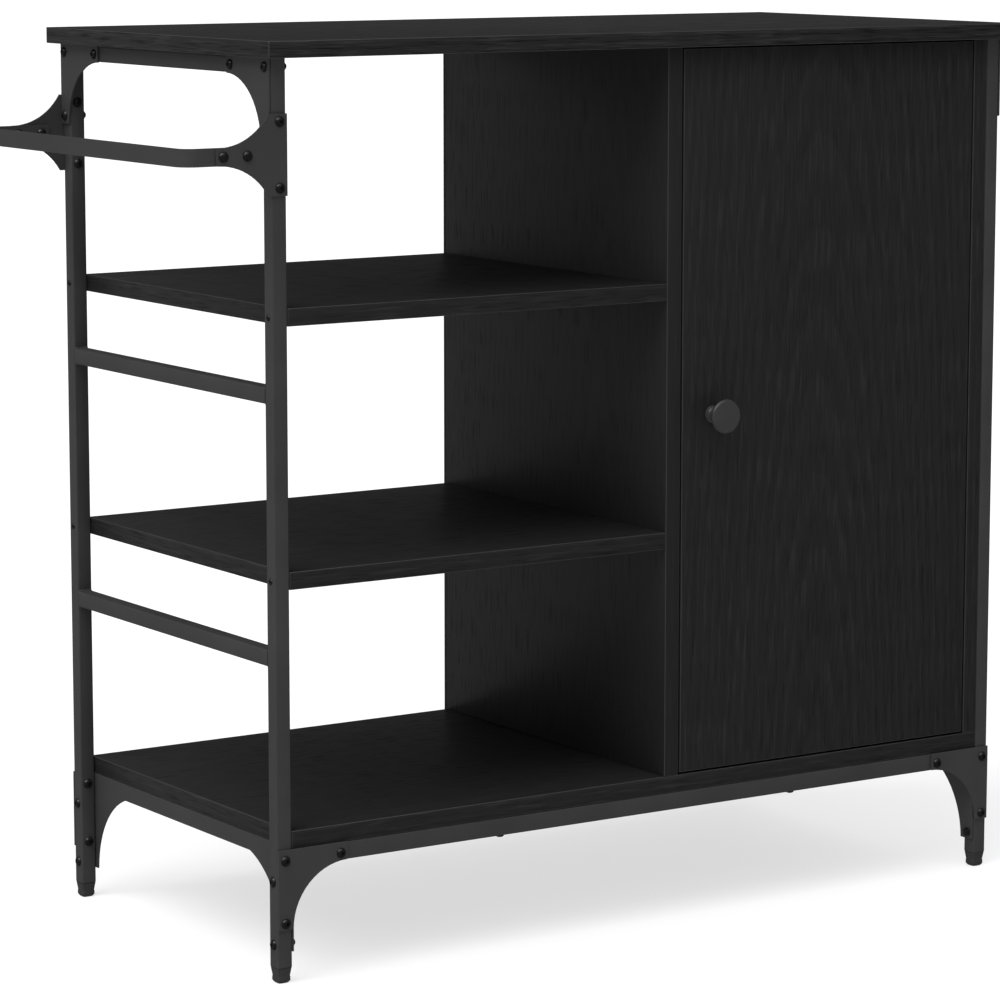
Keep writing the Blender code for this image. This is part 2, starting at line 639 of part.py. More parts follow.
def add_hinge(level, z, door):
    """A concealed hinge: cup and link on the door, arm and mounting plate on the side panel."""
    add_hinge_cup(f"{level}_hinge_cup", z, door)
    right = DOOR_RIGHT
    link = [(right - 34.0, 7.2), (right - 31.0, 6.6), (right - 19.6, 9.6), (right - 19.2, 11.6),
            (right - 20.6, 12.6), (right - 33.4, 9.8)]
    link_width = 10.0
    add_piece(f"{level}_hinge_link", extruded_mesh("hinge_link", [link], link_width),
              (0.0, 0.0, z), "nickel_steel", on_door=True)

    panel = SIDE_PANEL_LEFT
    arm_left, arm_right, arm_back, arm_width = panel - 11.6, panel - 3.6, 72.0, 12.0
    arm = [(arm_right, arm_back), (arm_left, arm_back), (arm_left, 28.0), (right - 18.2, 19.4),
           (right - 18.2, 13.4), (right - 13.4, 13.4), (right - 12.6, 18.4), (panel - 6.4, 22.0),
           (arm_right, 26.0)]
    add_piece(f"{level}_hinge_arm", extruded_mesh("hinge_arm", [arm], arm_width), (0.0, 0.0, z),
              "nickel_steel")
    plate_front, plate_back, plate_half = 34.0, 60.0, 22.0
    add_box(f"{level}_hinge_plate", (arm_right + GAP, plate_front, z - plate_half),
            (panel - GAP, plate_back, z + plate_half), "nickel_steel", edge=0.5)


def add_catch():
    """A magnetic catch on the divider and its strike plate on the door."""
    low_z, strike_y = DOOR_TOP - CATCH_DROP, BOARD + GAP
    strike_thickness, strike_height, magnet_gap = 1.2, 36.0, 0.5
    add_box("strike_plate", (DOOR_LEFT + 2.0, strike_y, low_z),
            (DOOR_LEFT + 16.0, strike_y + strike_thickness, low_z + strike_height),
            "nickel_steel", on_door=True, edge=0.3)
    catch_front = strike_y + strike_thickness + magnet_gap
    add_box("magnetic_catch", (DIVIDER_RIGHT + GAP, catch_front, low_z - 4.0),
            (DIVIDER_RIGHT + 14.0, catch_front + 15.3, low_z + strike_height + 4.0),
            "black_plastic", edge=1.0)


def add_door():
    """The inset door panel with everything that swings with it."""
    door = add_board("door_panel", (DOOR_LEFT, 0.0, DOOR_BOTTOM), (DOOR_RIGHT, BOARD, DOOR_TOP),
                     on_door=True)
    add_knob(door)
    for level, z in HINGE_HEIGHTS.items():
        add_hinge(level, z, door)
    add_catch()


# ---------------------------------------------------------------------------------------
# The cart
# ---------------------------------------------------------------------------------------

add_side_frames()
front_rail = add_bottom_rail("front_bottom_rail", 0.0)
add_bottom_rail("rear_bottom_rail", REAR_POST)
add_corner_plates()
bottom_board, divider_panel, right_side_panel = add_boards()
add_rail_screws(front_rail, bottom_board)
add_handle()
add_cabinet_shelf(divider_panel, right_side_panel)
add_door()
print("cart pieces:", len([item for item in cart.objects if item.type == "MESH"]))
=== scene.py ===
# %% [markdown]
# # Kitchen island cart
# A black kitchen cart: two side frames of square steel tube, boards with a black oak surface,
# open bays on the left, a cabinet with a round-knobbed door on the right, and a towel handle.
# The solid model of the cart is loaded first and never moved. Everything below gives it finer
# edges, its fasteners, its materials, a camera and light.

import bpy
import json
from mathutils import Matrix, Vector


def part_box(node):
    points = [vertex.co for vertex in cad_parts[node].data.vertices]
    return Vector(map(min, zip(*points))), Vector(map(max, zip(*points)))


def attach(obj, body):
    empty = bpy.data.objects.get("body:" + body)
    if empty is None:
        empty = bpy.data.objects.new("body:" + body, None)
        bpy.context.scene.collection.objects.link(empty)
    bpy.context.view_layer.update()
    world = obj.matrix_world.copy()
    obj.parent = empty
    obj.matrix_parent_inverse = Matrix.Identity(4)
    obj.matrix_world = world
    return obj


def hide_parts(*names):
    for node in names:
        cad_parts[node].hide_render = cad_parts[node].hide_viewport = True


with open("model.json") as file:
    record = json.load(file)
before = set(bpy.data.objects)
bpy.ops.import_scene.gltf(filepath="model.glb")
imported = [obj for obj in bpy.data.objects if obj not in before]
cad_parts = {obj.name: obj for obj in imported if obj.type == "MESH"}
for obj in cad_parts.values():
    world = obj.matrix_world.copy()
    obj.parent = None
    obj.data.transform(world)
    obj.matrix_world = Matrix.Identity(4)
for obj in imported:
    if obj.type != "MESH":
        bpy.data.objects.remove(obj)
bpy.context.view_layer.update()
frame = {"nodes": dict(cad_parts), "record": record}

# %% Tools used in every cell
import json
from math import cos, pi, radians, sin

import bmesh
import bpy
from mathutils import Matrix, Vector

MM = 0.001
record = frame["record"]
body_of = {node: body for body, nodes in record["behaviour"]["bodies"].items() for node in nodes}
slot_of = {part["node"]: part["material_slot"] for part in record["subparts"]}
print("bodies:", sorted(set(body_of.values())), "slots:", sorted(set(slot_of.values())))

# %% [markdown]
# ## Camera
# Furniture looks right from far away through a long lens, because its uprights then stay almost
# parallel. A camera could be placed by its own coordinates, but it is easier to read and change
# as the point it looks at, the direction it looks from, the distance and the lens.

# %% Camera
CAMERA_AIM = Vector((-0.022, -0.017, 0.390))
CAMERA_AZIMUTH = radians(-33.27)       # 0 looks along +Y; negative is from the handle's side
CAMERA_ELEVATION = radians(8.62)
CAMERA_DISTANCE = 3.93
CAMERA_LENS = 146.2

camera = bpy.data.objects.new("camera", bpy.data.cameras.new("camera"))
bpy.context.scene.collection.objects.link(camera)
towards_camera = Vector((sin(CAMERA_AZIMUTH) * cos(CAMERA_ELEVATION),
                         -cos(CAMERA_AZIMUTH) * cos(CAMERA_ELEVATION),
                         sin(CAMERA_ELEVATION)))
camera.location = CAMERA_AIM + towards_camera * CAMERA_DISTANCE
camera.rotation_euler = (-towards_camera).to_track_quat("-Z", "Y").to_euler()
camera.data.lens = CAMERA_LENS
bpy.context.scene.camera = camera
print("camera at", [round(x, 3) for x in camera.location])

# %% [markdown]
# ## Node helpers
# Shaders, the sky and Geometry Nodes are all node trees. A few small helpers keep the cells
# below short. The first adds a node with its settings and inputs: an input that is given
# another node's output is wired, and any other value is set. The others add the nodes that
# come up again and again, and the last one gives a group its named sockets.

# %% Node helpers
def add(tree, kind, inputs=None, **settings):
    """Add a node; inputs maps a socket's name or number to a value or to another output."""
    made = tree.nodes.new(kind)
    for key, value in settings.items():
        setattr(made, key, value)
    for key, value in (inputs or {}).items():
        if isinstance(value, bpy.types.NodeSocket):
            tree.links.new(value, made.inputs[key])
        else:
            made.inputs[key].default_value = value
    return made


def calc(tree, operation, first, second=0.0, third=0.0):
    """One Math node; returns its output."""
    made = add(tree, "ShaderNodeMath", {0: first, 1: second, 2: third}, operation=operation)
    return made.outputs[0]


def fade(tree, value, low, high, to_low=0.0, to_high=1.0):
    """A smooth step of a value between two limits."""
    ranged = add(tree, "ShaderNodeMapRange", {"Value": value, "From Min": low, "From Max": high,
                                              "To Min": to_low, "To Max": to_high},
                 interpolation_type="SMOOTHSTEP")
    return ranged.outputs["Result"]


def vector(tree, x=0.0, y=0.0, z=0.0):
    """Three numbers or outputs, joined."""
    return add(tree, "ShaderNodeCombineXYZ", {"X": x, "Y": y, "Z": z}).outputs[0]


def noise(tree, place, cells_per_unit, **more):
    """The grey value of a Noise Texture; more names any of its other inputs."""
    inputs = {"Vector": place, "Scale": cells_per_unit, **more}
    return add(tree, "ShaderNodeTexNoise", inputs).outputs["Fac"]


def sockets(tree, inputs=(), outputs=()):
    """Give a group its sockets; an input is (name, type, value). Returns its two end nodes."""
    for name, kind, value in inputs:
        made = tree.interface.new_socket(name, in_out="INPUT", socket_type="NodeSocket" + kind)
        if value is not None:
            made.default_value = value
    for name, kind in outputs:
        tree.interface.new_socket(name, in_out="OUTPUT", socket_type="NodeSocket" + kind)
    return tree.nodes.new("NodeGroupInput"), tree.nodes.new("NodeGroupOutput")


print("node helpers:", [item.__name__ for item in (add, calc, fade, vector, noise, sockets)])

# %% [markdown]
# ## Studio
# Black furniture on white is lit mostly from above and from one side, here the handle's side.
# The lights are suns with a wide disc, because a sun lights a floor of any size evenly and its
# wide disc makes soft shadows. A weak fill from the right rear opens up the sides that the key
# light misses, and is not mirrored, or it would glare on the tops. What the steel and the
# boards mirror decides how black they look, so the sky is white for the camera, dim for
# reflections, and a little brighter towards the left rear, where a reflector would stand.

# %% Studio light
scene = bpy.context.scene
scene.view_settings.view_transform = "Standard"


def add_sun(name, azimuth, elevation, strength, width, mirrored=True):
    """A soft sun from a compass direction, measured as the camera's azimuth is."""
    sun = bpy.data.objects.new(name, bpy.data.lights.new(name, "SUN"))
    scene.collection.objects.link(sun)
    a, e = radians(azimuth), radians(elevation)
    direction = Vector((sin(a) * cos(e), -cos(a) * cos(e), sin(e)))
    sun.rotation_euler = direction.to_track_quat("Z", "Y").to_euler()
    sun.data.energy = strength
    sun.data.angle = radians(width)
    sun.visible_glossy = mirrored


add_sun("key_sun", azimuth=-78, elevation=56, strength=2.3, width=50)
add_sun("front_sun", azimuth=-15, elevation=62, strength=0.9, width=60)
add_sun("rear_fill", azimuth=115, elevation=32, strength=0.8, width=80, mirrored=False)

# %% Sky
SKY_SEEN, SKY_FILL = 1.0, 0.30                # its strength for the camera, and as soft light
SKY_DIM, SKY_BRIGHT = 0.055, 0.18             # its strength in reflections
REFLECTOR_DIRECTION = (-0.80, 0.60, 0.0)
REFLECTOR_EDGE, REFLECTOR_MIDDLE = 0.2, 1.0   # cosines of the angle from that direction

world = bpy.data.worlds.new("studio")
world.use_nodes = True
scene.world = world
sky = world.node_tree
sky.nodes.clear()
ray = add(sky, "ShaderNodeLightPath")
direction = add(sky, "ShaderNodeTexCoord").outputs["Generated"]
to_reflector = add(sky, "ShaderNodeVectorMath", {0: direction, 1: REFLECTOR_DIRECTION},
                   operation="DOT_PRODUCT").outputs["Value"]
mirrored = fade(sky, to_reflector, REFLECTOR_EDGE, REFLECTOR_MIDDLE, SKY_DIM, SKY_BRIGHT)
lit = add(sky, "ShaderNodeMix", {"Factor": ray.outputs["Is Glossy Ray"], "A": SKY_FILL,
                                 "B": mirrored}, data_type="FLOAT").outputs["Result"]
seen = add(sky, "ShaderNodeMix", {"Factor": ray.outputs["Is Camera Ray"], "A": lit,
                                  "B": SKY_SEEN}, data_type="FLOAT").outputs["Result"]
glow = add(sky, "ShaderNodeBackground", {"Color": (1.0, 1.0, 1.0, 1.0), "Strength": seen})
add(sky, "ShaderNodeOutputWorld", {"Surface": glow.outputs["Background"]})
print("sky:", len(sky.nodes), "nodes")

# %% [markdown]
# ## Floor
# The floor is a wide disc of white paper, so far across that its rim never shows. A plain white
# floor would need very strong light to look white, and that light would bleach the black cart.
# So the paper glows a little by itself, which also lifts the cart's shadow to a pale grey.

# %% Floor
FLOOR_RADIUS = 40.0
PAPER_WHITE, PAPER_GLOW = 0.38, 0.66
bpy.ops.mesh.primitive_circle_add(vertices=64, radius=FLOOR_RADIUS, fill_type="NGON")
floor = bpy.context.object
floor.name = "floor"
floor.visible_glossy = False
paper = bpy.data.materials.new("pale_paper")
paper.use_nodes = True
paper_shader = paper.node_tree.nodes["Principled BSDF"]
for socket_name, value in (("Base Color", (PAPER_WHITE, PAPER_WHITE, PAPER_WHITE, 1.0)),
                           ("Emission Color", (1.0, 1.0, 1.0, 1.0)),
                           ("Emission Strength", PAPER_GLOW), ("Roughness", 1.0),
                           ("Specular IOR Level", 0.0)):
    paper_shader.inputs[socket_name].default_value = value
floor.data.materials.append(paper)
print("floor:", 2 * FLOOR_RADIUS, "m across")

# %% [markdown]
# ## Oak figure
# The boards are faced with a black foil that is printed and pressed like flat-sawn oak. A log
# is a slim cone of rings, and a flat saw cut through it shows the rings as nested arches in
# the middle of the board and as nearly straight lines at its sides. The group below works
# that out: the distance from the log's core at every point of the board, cut into rings. Short
# dark pores and short pale flecks lie along the grain and crowd in different parts of a ring.
# The figure is black on black, so every part of it only moves the tone a little from the
# middle. A plain wave texture would give even stripes and no arches. The group reads a grain
# map in metres, across and along the board, so the same figure fits every board.

# %% Oak figure group
oak_figure = bpy.data.node_groups.new("oak_figure", "ShaderNodeTree")
oak_in, oak_out = sockets(
    oak_figure,
    inputs=[("Grain", "Vector", None), ("Core Across", "Float", 0.0), ("Core Depth", "Float", 0.03),
            ("Taper", "Float", 0.12), ("Ring Width", "Float", 0.009), ("Contrast", "Float", 1.0),
            ("Seed", "Float", 0.0)],
    outputs=[("Tone", "Float"), ("Pores", "Float"), ("Height", "Float")])
grain = oak_in.outputs["Grain"]
seed = oak_in.outputs["Seed"]


def stretched_noise(cells, seed_value, detail=2.0, roughness=0.5):
    """Noise on the grain map; cells counts them per metre, across the grain and along it."""
    split = add(oak_figure, "ShaderNodeSeparateXYZ", {0: grain})
    scaled = vector(oak_figure, calc(oak_figure, "MULTIPLY", split.outputs["X"], cells[0]),
                    calc(oak_figure, "MULTIPLY", split.outputs["Y"], cells[1]), seed_value)
    return noise(oak_figure, scaled, 1.0, Detail=detail, Roughness=roughness)


def centred(grey):
    """A noise moved down so that it swings about zero."""
    return calc(oak_figure, "SUBTRACT", grey, 0.5)


print("oak figure inputs:", [item.name for item in oak_in.outputs if item.name])

# %% Rings of the log
SWAY_CELLS, SWELL_CELLS = (7.0, 1.8), (12.0, 4.0)   # per metre, across and along the grain
SWAY, SWELL = 0.012, 0.010                # metres that the core wanders sideways and in depth
LATE_START, LATE_FULL, LATE_FALL = 0.30, 0.85, 0.92       # places in a ring, from 0 to 1

parts = add(oak_figure, "ShaderNodeSeparateXYZ", {0: grain})
across = calc(oak_figure, "SUBTRACT", parts.outputs["X"], oak_in.outputs["Core Across"])
across = calc(oak_figure, "MULTIPLY_ADD", centred(stretched_noise(SWAY_CELLS, seed)), SWAY, across)
depth = calc(oak_figure, "MULTIPLY_ADD", parts.outputs["Y"], oak_in.outputs["Taper"],
             oak_in.outputs["Core Depth"])
depth = calc(oak_figure, "MULTIPLY_ADD", centred(stretched_noise(SWELL_CELLS, seed)), SWELL, depth)
squares = [calc(oak_figure, "MULTIPLY", side, side) for side in (across, depth)]
core_distance = calc(oak_figure, "SQRT", calc(oak_figure, "ADD", *squares))
rings = calc(oak_figure, "DIVIDE", core_distance, oak_in.outputs["Ring Width"])
ring = calc(oak_figure, "FRACT", rings)
late_wood = calc(oak_figure, "MULTIPLY", fade(oak_figure, ring, LATE_START, LATE_FULL),
                 fade(oak_figure, ring, 1.0, LATE_FALL))
print("rings:", len(oak_figure.nodes), "nodes")

# %% Pores, flecks and fibres
PORE_CELLS, FLECK_CELLS = (640.0, 30.0), (520.0, 24.0)    # per metre, across and along the grain
FIBRE_CELLS, STREAK_CELLS = (1500.0, 16.0), (150.0, 2.2)
PORE_LIMITS, FLECK_LIMITS = (0.53, 0.66), (0.53, 0.68)    # of the noise, from none to full
MIDDLE_TONE, FIBRE_HEIGHT = 0.45, 0.35

fleck_seed = calc(oak_figure, "ADD", seed, 40.0)
pore_noise = stretched_noise(PORE_CELLS, seed, detail=1.0)
fleck_noise = stretched_noise(FLECK_CELLS, fleck_seed, detail=1.0)
in_early_wood = calc(oak_figure, "MULTIPLY_ADD", late_wood, -0.07, 0.02)
in_late_wood = calc(oak_figure, "MULTIPLY_ADD", late_wood, 0.08, -0.04)
pores = fade(oak_figure, calc(oak_figure, "ADD", pore_noise, in_early_wood), *PORE_LIMITS)
flecks = fade(oak_figure, calc(oak_figure, "ADD", fleck_noise, in_late_wood), *FLECK_LIMITS)
fibres = centred(stretched_noise(FIBRE_CELLS, seed, roughness=0.6))
streaks = centred(stretched_noise(STREAK_CELLS, seed, detail=3.0))
print("pores, flecks, fibres and streaks:", len(oak_figure.nodes), "nodes")

# %% Tone and height of the figure
swing = 0.0
for tone_part, weight in ((late_wood, 0.05), (pores, -0.30), (flecks, 0.36), (fibres, 0.30),
                          (streaks, 0.34)):
    swing = calc(oak_figure, "MULTIPLY_ADD", tone_part, weight, swing)
tone = calc(oak_figure, "MULTIPLY_ADD", swing, oak_in.outputs["Contrast"], MIDDLE_TONE)
height = calc(oak_figure, "MULTIPLY_ADD", pores, -1.0,
              calc(oak_figure, "MULTIPLY", fibres, FIBRE_HEIGHT))
oak_figure.links.new(tone, oak_out.inputs["Tone"])
oak_figure.links.new(pores, oak_out.inputs["Pores"])
oak_figure.links.new(height, oak_out.inputs["Height"])
print("oak figure:", len(oak_figure.nodes), "nodes")

# %% [markdown]
# ## Powder coat and moulded skin
# Powder paint is sprayed dry and baked, which leaves a fine pebbled skin like an orange peel.
# Moulded plastic has the same kind of skin from its etched mould, only finer. One group makes
# both, with the size of the pebbles as an input.

# %% Pebbled skin group
pebbled_skin = bpy.data.node_groups.new("pebbled_skin", "ShaderNodeTree")
skin_in, skin_out = sockets(
    pebbled_skin,
    inputs=[("Place", "Vector", None), ("Pebble Size", "Float", 0.0011)],
    outputs=[("Tone", "Float"), ("Height", "Float")])
CLOUDS_PER_METRE = 14.0
pebbles_per_metre = calc(pebbled_skin, "DIVIDE", 1.0, skin_in.outputs["Pebble Size"])
pebbles = noise(pebbled_skin, skin_in.outputs["Place"], pebbles_per_metre, Detail=2.0)
clouds = noise(pebbled_skin, skin_in.outputs["Place"], CLOUDS_PER_METRE, Detail=4.0,
               Roughness=0.6)
pebbled_skin.links.new(clouds, skin_out.inputs["Tone"])
pebbled_skin.links.new(pebbles, skin_out.inputs["Height"])
print("pebbled skin:", len(pebbled_skin.nodes), "nodes")

# %% [markdown]
# ## Materials
# Each finish of the record gets a material. The shader itself stays in the material, and the
# groups only feed its colour, its roughness and the bump in front of its normal.

# %% Material helpers
def new_material(name, roughness=0.5, metallic=0.0, specular=0.5):
    """A material with its Principled shader, whose constant values sit on its own sockets."""
    material = bpy.data.materials.new(name)
    material.use_nodes = True
    shader = material.node_tree.nodes["Principled BSDF"]
    shader.inputs["Roughness"].default_value = roughness
    shader.inputs["Metallic"].default_value = metallic
    shader.inputs["Specular IOR Level"].default_value = specular
    return material, material.node_tree, shader


COLOUR_A, COLOUR_B, COLOUR_OUT = 6, 7, 2   # a Mix node's colour sockets, among all its sockets


def mixed_colour(tree, tone, dark, light):
    """A colour between a dark one and a light one; either may be another node's output."""
    inputs = {"Factor": tone}
    for socket, colour in ((COLOUR_A, dark), (COLOUR_B, light)):
        is_wire = isinstance(colour, bpy.types.NodeSocket)
        inputs[socket] = colour if is_wire else (*colour, 1.0)
    return add(tree, "ShaderNodeMix", inputs, data_type="RGBA").outputs[COLOUR_OUT]


def colour_from(tree, shader, tone, dark, light):
    """Drive the base colour with a tone between a dark and a light grey."""
    tree.links.new(mixed_colour(tree, tone, dark, light), shader.inputs["Base Color"])


def bump_from(tree, shader, height, distance, strength=1.0):
    """A bump of a real height in metres."""
    bump = add(tree, "ShaderNodeBump", {"Height": height, "Distance": distance,
                                        "Strength": strength})
    tree.links.new(bump.outputs["Normal"], shader.inputs["Normal"])


print("material helpers:", [item.__name__ for item in (new_material, colour_from, bump_from)])

# %% [markdown]
# ## Black oak
# The foil is darkest on the flat faces. At a board's rounded edges a thin line is painted
# paler: a painted highlight where the rounding would catch the light. The boards carry that as a
# mask named "arris". Pores are a little rougher than the smooth foil between them, so the sheen
# breaks up along the grain.

# %% Black oak
OAK_DARK, OAK_LIGHT = (0.0042, 0.0042, 0.0044), (0.0270, 0.0270, 0.0275)
# The paler colour of the boards' rounded edges is a painted highlight.
OAK_WORN = (0.038, 0.038, 0.039)
FOIL_ROUGHNESS, PORE_ROUGHNESS = 0.37, 0.54
FOIL_BUMP = 0.6


def black_oak(name, core_across, taper, core_depth, contrast, relief, seed):
    """The black oak foil, with the log's core placed under one board; relief is in metres."""
    material, tree, shader = new_material(name, specular=0.42)
    grain_map = add(tree, "ShaderNodeUVMap", uv_map="grain").outputs["UV"]
    figure = add(tree, "ShaderNodeGroup", {
        "Grain": grain_map, "Core Across": core_across, "Core Depth": core_depth,
        "Taper": taper, "Contrast": contrast, "Seed": seed}, node_tree=oak_figure)
    foil = mixed_colour(tree, figure.outputs["Tone"], OAK_DARK, OAK_LIGHT)
    arris = add(tree, "ShaderNodeAttribute", attribute_name="arris").outputs["Fac"]
    # The arris mask mixes a paler colour in along the rounded edges: a painted highlight.
    highlighted_foil = mixed_colour(tree, arris, foil, OAK_WORN)
    tree.links.new(highlighted_foil, shader.inputs["Base Color"])
    roughness = fade(tree, figure.outputs["Pores"], 0.0, 1.0, FOIL_ROUGHNESS, PORE_ROUGHNESS)
    tree.links.new(roughness, shader.inputs["Roughness"])
    bump_from(tree, shader, figure.outputs["Height"], relief, FOIL_BUMP)
    return material


print("black oak: from", OAK_DARK, "to", OAK_LIGHT, "and", OAK_WORN, "at the edges")

# %% [markdown]
# ## Painted steel
# The frames are powder coated, and the bolts and the knob have a smoother, glossier black. One
# function makes all three, because they differ only in the size of their pebbles, their
# darkness and their roughness. Thin patches of paint are darker and smoother than thick ones.

# %% Painted steel
PEBBLE_RELIEF = 0.09 * MM


def black_powder(name, pebble=0.0011, dark=(0.030, 0.030, 0.031), light=(0.046, 0.046, 0.047),
                 rough=(0.44, 0.54)):
    """Matte black powder coat; also the smoother black of the bolts and the knob."""
    material, tree, shader = new_material(name, specular=0.4)
    place = add(tree, "ShaderNodeTexCoord").outputs["Object"]
    skin = add(tree, "ShaderNodeGroup", {"Place": place, "Pebble Size": pebble},
               node_tree=pebbled_skin)
    colour_from(tree, shader, skin.outputs["Tone"], dark, light)
    tree.links.new(fade(tree, skin.outputs["Tone"], 0.3, 0.7, *rough), shader.inputs["Roughness"])
    bump_from(tree, shader, skin.outputs["Height"], PEBBLE_RELIEF)
    return material


STEEL = black_powder("black_powder_coat")
BOLT_STEEL = black_powder("black_oxide_bolts", pebble=0.0007, dark=(0.005, 0.005, 0.005),
                          light=(0.010, 0.010, 0.010), rough=(0.22, 0.32))
KNOB_PAINT = black_powder("black_knob_paint", pebble=0.0009, rough=(0.26, 0.34))
print("painted steel:", [material.name for material in (STEEL, BOLT_STEEL, KNOB_PAINT)])

# %% [markdown]
# ## Plastic, nickel and hardboard
# The foot plugs and the catch are moulded plastic, with the finest skin of all. The hinges,
# the strike plate and the shelf pins are nickel plated, and keep fine lines from the rolling
# mill, so noise is stretched along z. The cabinet's back is pressed fibre, painted black: its
# fibres lie every way and show through, which a twisted noise gives, under soft clouds of paint.

# %% Moulded plastic
def moulded_plastic(name):
    """Black moulded plastic with a fine etched skin."""
    material, tree, shader = new_material(name, roughness=0.5, specular=0.4)
    place = add(tree, "ShaderNodeTexCoord").outputs["Object"]
    skin = add(tree, "ShaderNodeGroup", {"Place": place, "Pebble Size": 0.6 * MM},
               node_tree=pebbled_skin)
    colour_from(tree, shader, skin.outputs["Tone"], (0.026, 0.026, 0.026), (0.036, 0.036, 0.036))
    bump_from(tree, shader, skin.outputs["Height"], 0.04 * MM)
    return material


PLASTIC = moulded_plastic("black_plastic")
print("plastic:", PLASTIC.name)

# %% Nickel plate
ROLLED_LINES = (3000.0, 3000.0, 120.0)    # cells per metre along x, y and z


def nickel_plate(name):
    """Satin nickel on pressed steel, with fine lines from the rolled sheet."""
    material, tree, shader = new_material(name, metallic=0.75)
    place = add(tree, "ShaderNodeTexCoord").outputs["Object"]
    stretch = add(tree, "ShaderNodeMapping", {"Vector": place, "Scale": ROLLED_LINES})
    lines = noise(tree, stretch.outputs["Vector"], 1.0)
    colour_from(tree, shader, lines, (0.56, 0.55, 0.53), (0.72, 0.71, 0.68))
    tree.links.new(fade(tree, lines, 0.3, 0.7, 0.24, 0.36), shader.inputs["Roughness"])
    bump_from(tree, shader, lines, 0.01 * MM)
    return material


NICKEL = nickel_plate("satin_nickel")
print("nickel:", NICKEL.name)

# %% Hardboard
FIBRES_PER_METRE, PAINT_CLOUDS_PER_METRE = 420.0, 9.0


def black_hardboard(name):
    """A thin pressed-fibre sheet, painted black."""
    material, tree, shader = new_material(name, specular=0.3)
    place = add(tree, "ShaderNodeTexCoord").outputs["Object"]
    fibre = noise(tree, place, FIBRES_PER_METRE, Detail=5.0, Distortion=2.5)
    clouds = noise(tree, place, PAINT_CLOUDS_PER_METRE, Detail=3.0)
    tone = calc(tree, "ADD", fade(tree, fibre, 0.35, 0.65, 0.0, 0.6),
                fade(tree, clouds, 0.3, 0.7, 0.0, 0.4))
    colour_from(tree, shader, tone, (0.013, 0.013, 0.013), (0.036, 0.036, 0.036))
    tree.links.new(fade(tree, tone, 0.0, 1.0, 0.70, 0.55), shader.inputs["Roughness"])
    bump_from(tree, shader, fibre, 0.12 * MM)
    return material


HARDBOARD = black_hardboard("black_hardboard")
print("hardboard:", HARDBOARD.name)

# %% [markdown]
# ## Finished copies of the solids
# The solid model is right in size but its edges are sharp and its faces are flat triangles.
# Pressed, sawn and painted edges are never that sharp, and their small roundings catch the
# light as thin bright lines. So each solid is copied, its triangles are merged into whole
# faces, and the edges that are still sharp get a small rounding. The copy then stands for the
# solid. A Bevel modifier with hardened normals keeps the big faces flat in shading.

# %% Finished copies
SMOOTH_ANGLE = radians(40)
MERGE_DISTANCE = 0.000002


def merged_copy(node):
    """The node's triangles, welded and merged into whole faces, as a new mesh."""
    mesh = bpy.data.meshes.new(node + "_finished")
    shape = bmesh.new()
    shape.from_mesh(frame["nodes"][node].data)
    bmesh.ops.remove_doubles(shape, verts=shape.verts, dist=MERGE_DISTANCE)
    bmesh.ops.dissolve_limit(shape, angle_limit=radians(0.5), verts=shape.verts, edges=shape.edges)
    shape.to_mesh(mesh)
    shape.free()
    return mesh


def baked(piece):
    """Apply the piece's modifiers and keep one plain mesh."""
    bpy.context.view_layer.update()
    evaluated = piece.evaluated_get(bpy.context.evaluated_depsgraph_get())
    mesh = bpy.data.meshes.new_from_object(evaluated, preserve_all_data_layers=True,
                                           depsgraph=bpy.context.evaluated_depsgraph_get())
    piece.modifiers.clear()
    piece.data = mesh
    return piece


def place_piece(piece, body, slot, *nodes):
    """Let a piece ride on its body and stand for its solids; the slot is not used."""
    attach(piece, body)
    if nodes:
        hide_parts(*nodes)


def round_edges(piece, width, segments=3):
    """Round the sharp edges, with flat faces left flat in shading."""
    bevel = piece.modifiers.new("arris", "BEVEL")
    bevel.width = width
    bevel.segments = segments
    bevel.limit_method = "ANGLE"
    bevel.angle_limit = SMOOTH_ANGLE
    bevel.harden_normals = True
    bevel.miter_outer = "MITER_ARC"


def finished_copy(node, material, arris):
    """A copy of one solid with rounded edges, in its material, standing for the solid."""
    piece = bpy.data.objects.new(node + "_finished", merged_copy(node))
    scene.collection.objects.link(piece)
    piece.data.materials.append(material)
    piece.data.shade_smooth()
    piece.data.set_sharp_from_angle(angle=SMOOTH_ANGLE)
    if arris:
        round_edges(piece, arris)
    return baked(piece)


print("solids to finish:", len(slot_of), "in", sorted(set(slot_of.values())))

# %% [markdown]
# ## Boards
# On a foil-faced board the foil wraps the two faces, and the sawn edges are closed with a
# narrow band of the same foil, whose grain runs along the edge. So each board's grain map is
# laid out face by face: the faces get the board's own grain direction, the edges the direction
# in which they run. Every board has its own place in the log, so that no two look alike. The
# foil's edges are rounded in the solids already, so a board's copy needs no bevel.

# %% Grain map
FLAT_FACE = 0.99         # a face whose normal is less square to the axes is part of a rounding
EDGE_SHIFT = 0.21        # metres on the map from one edge's band of foil to the next one's


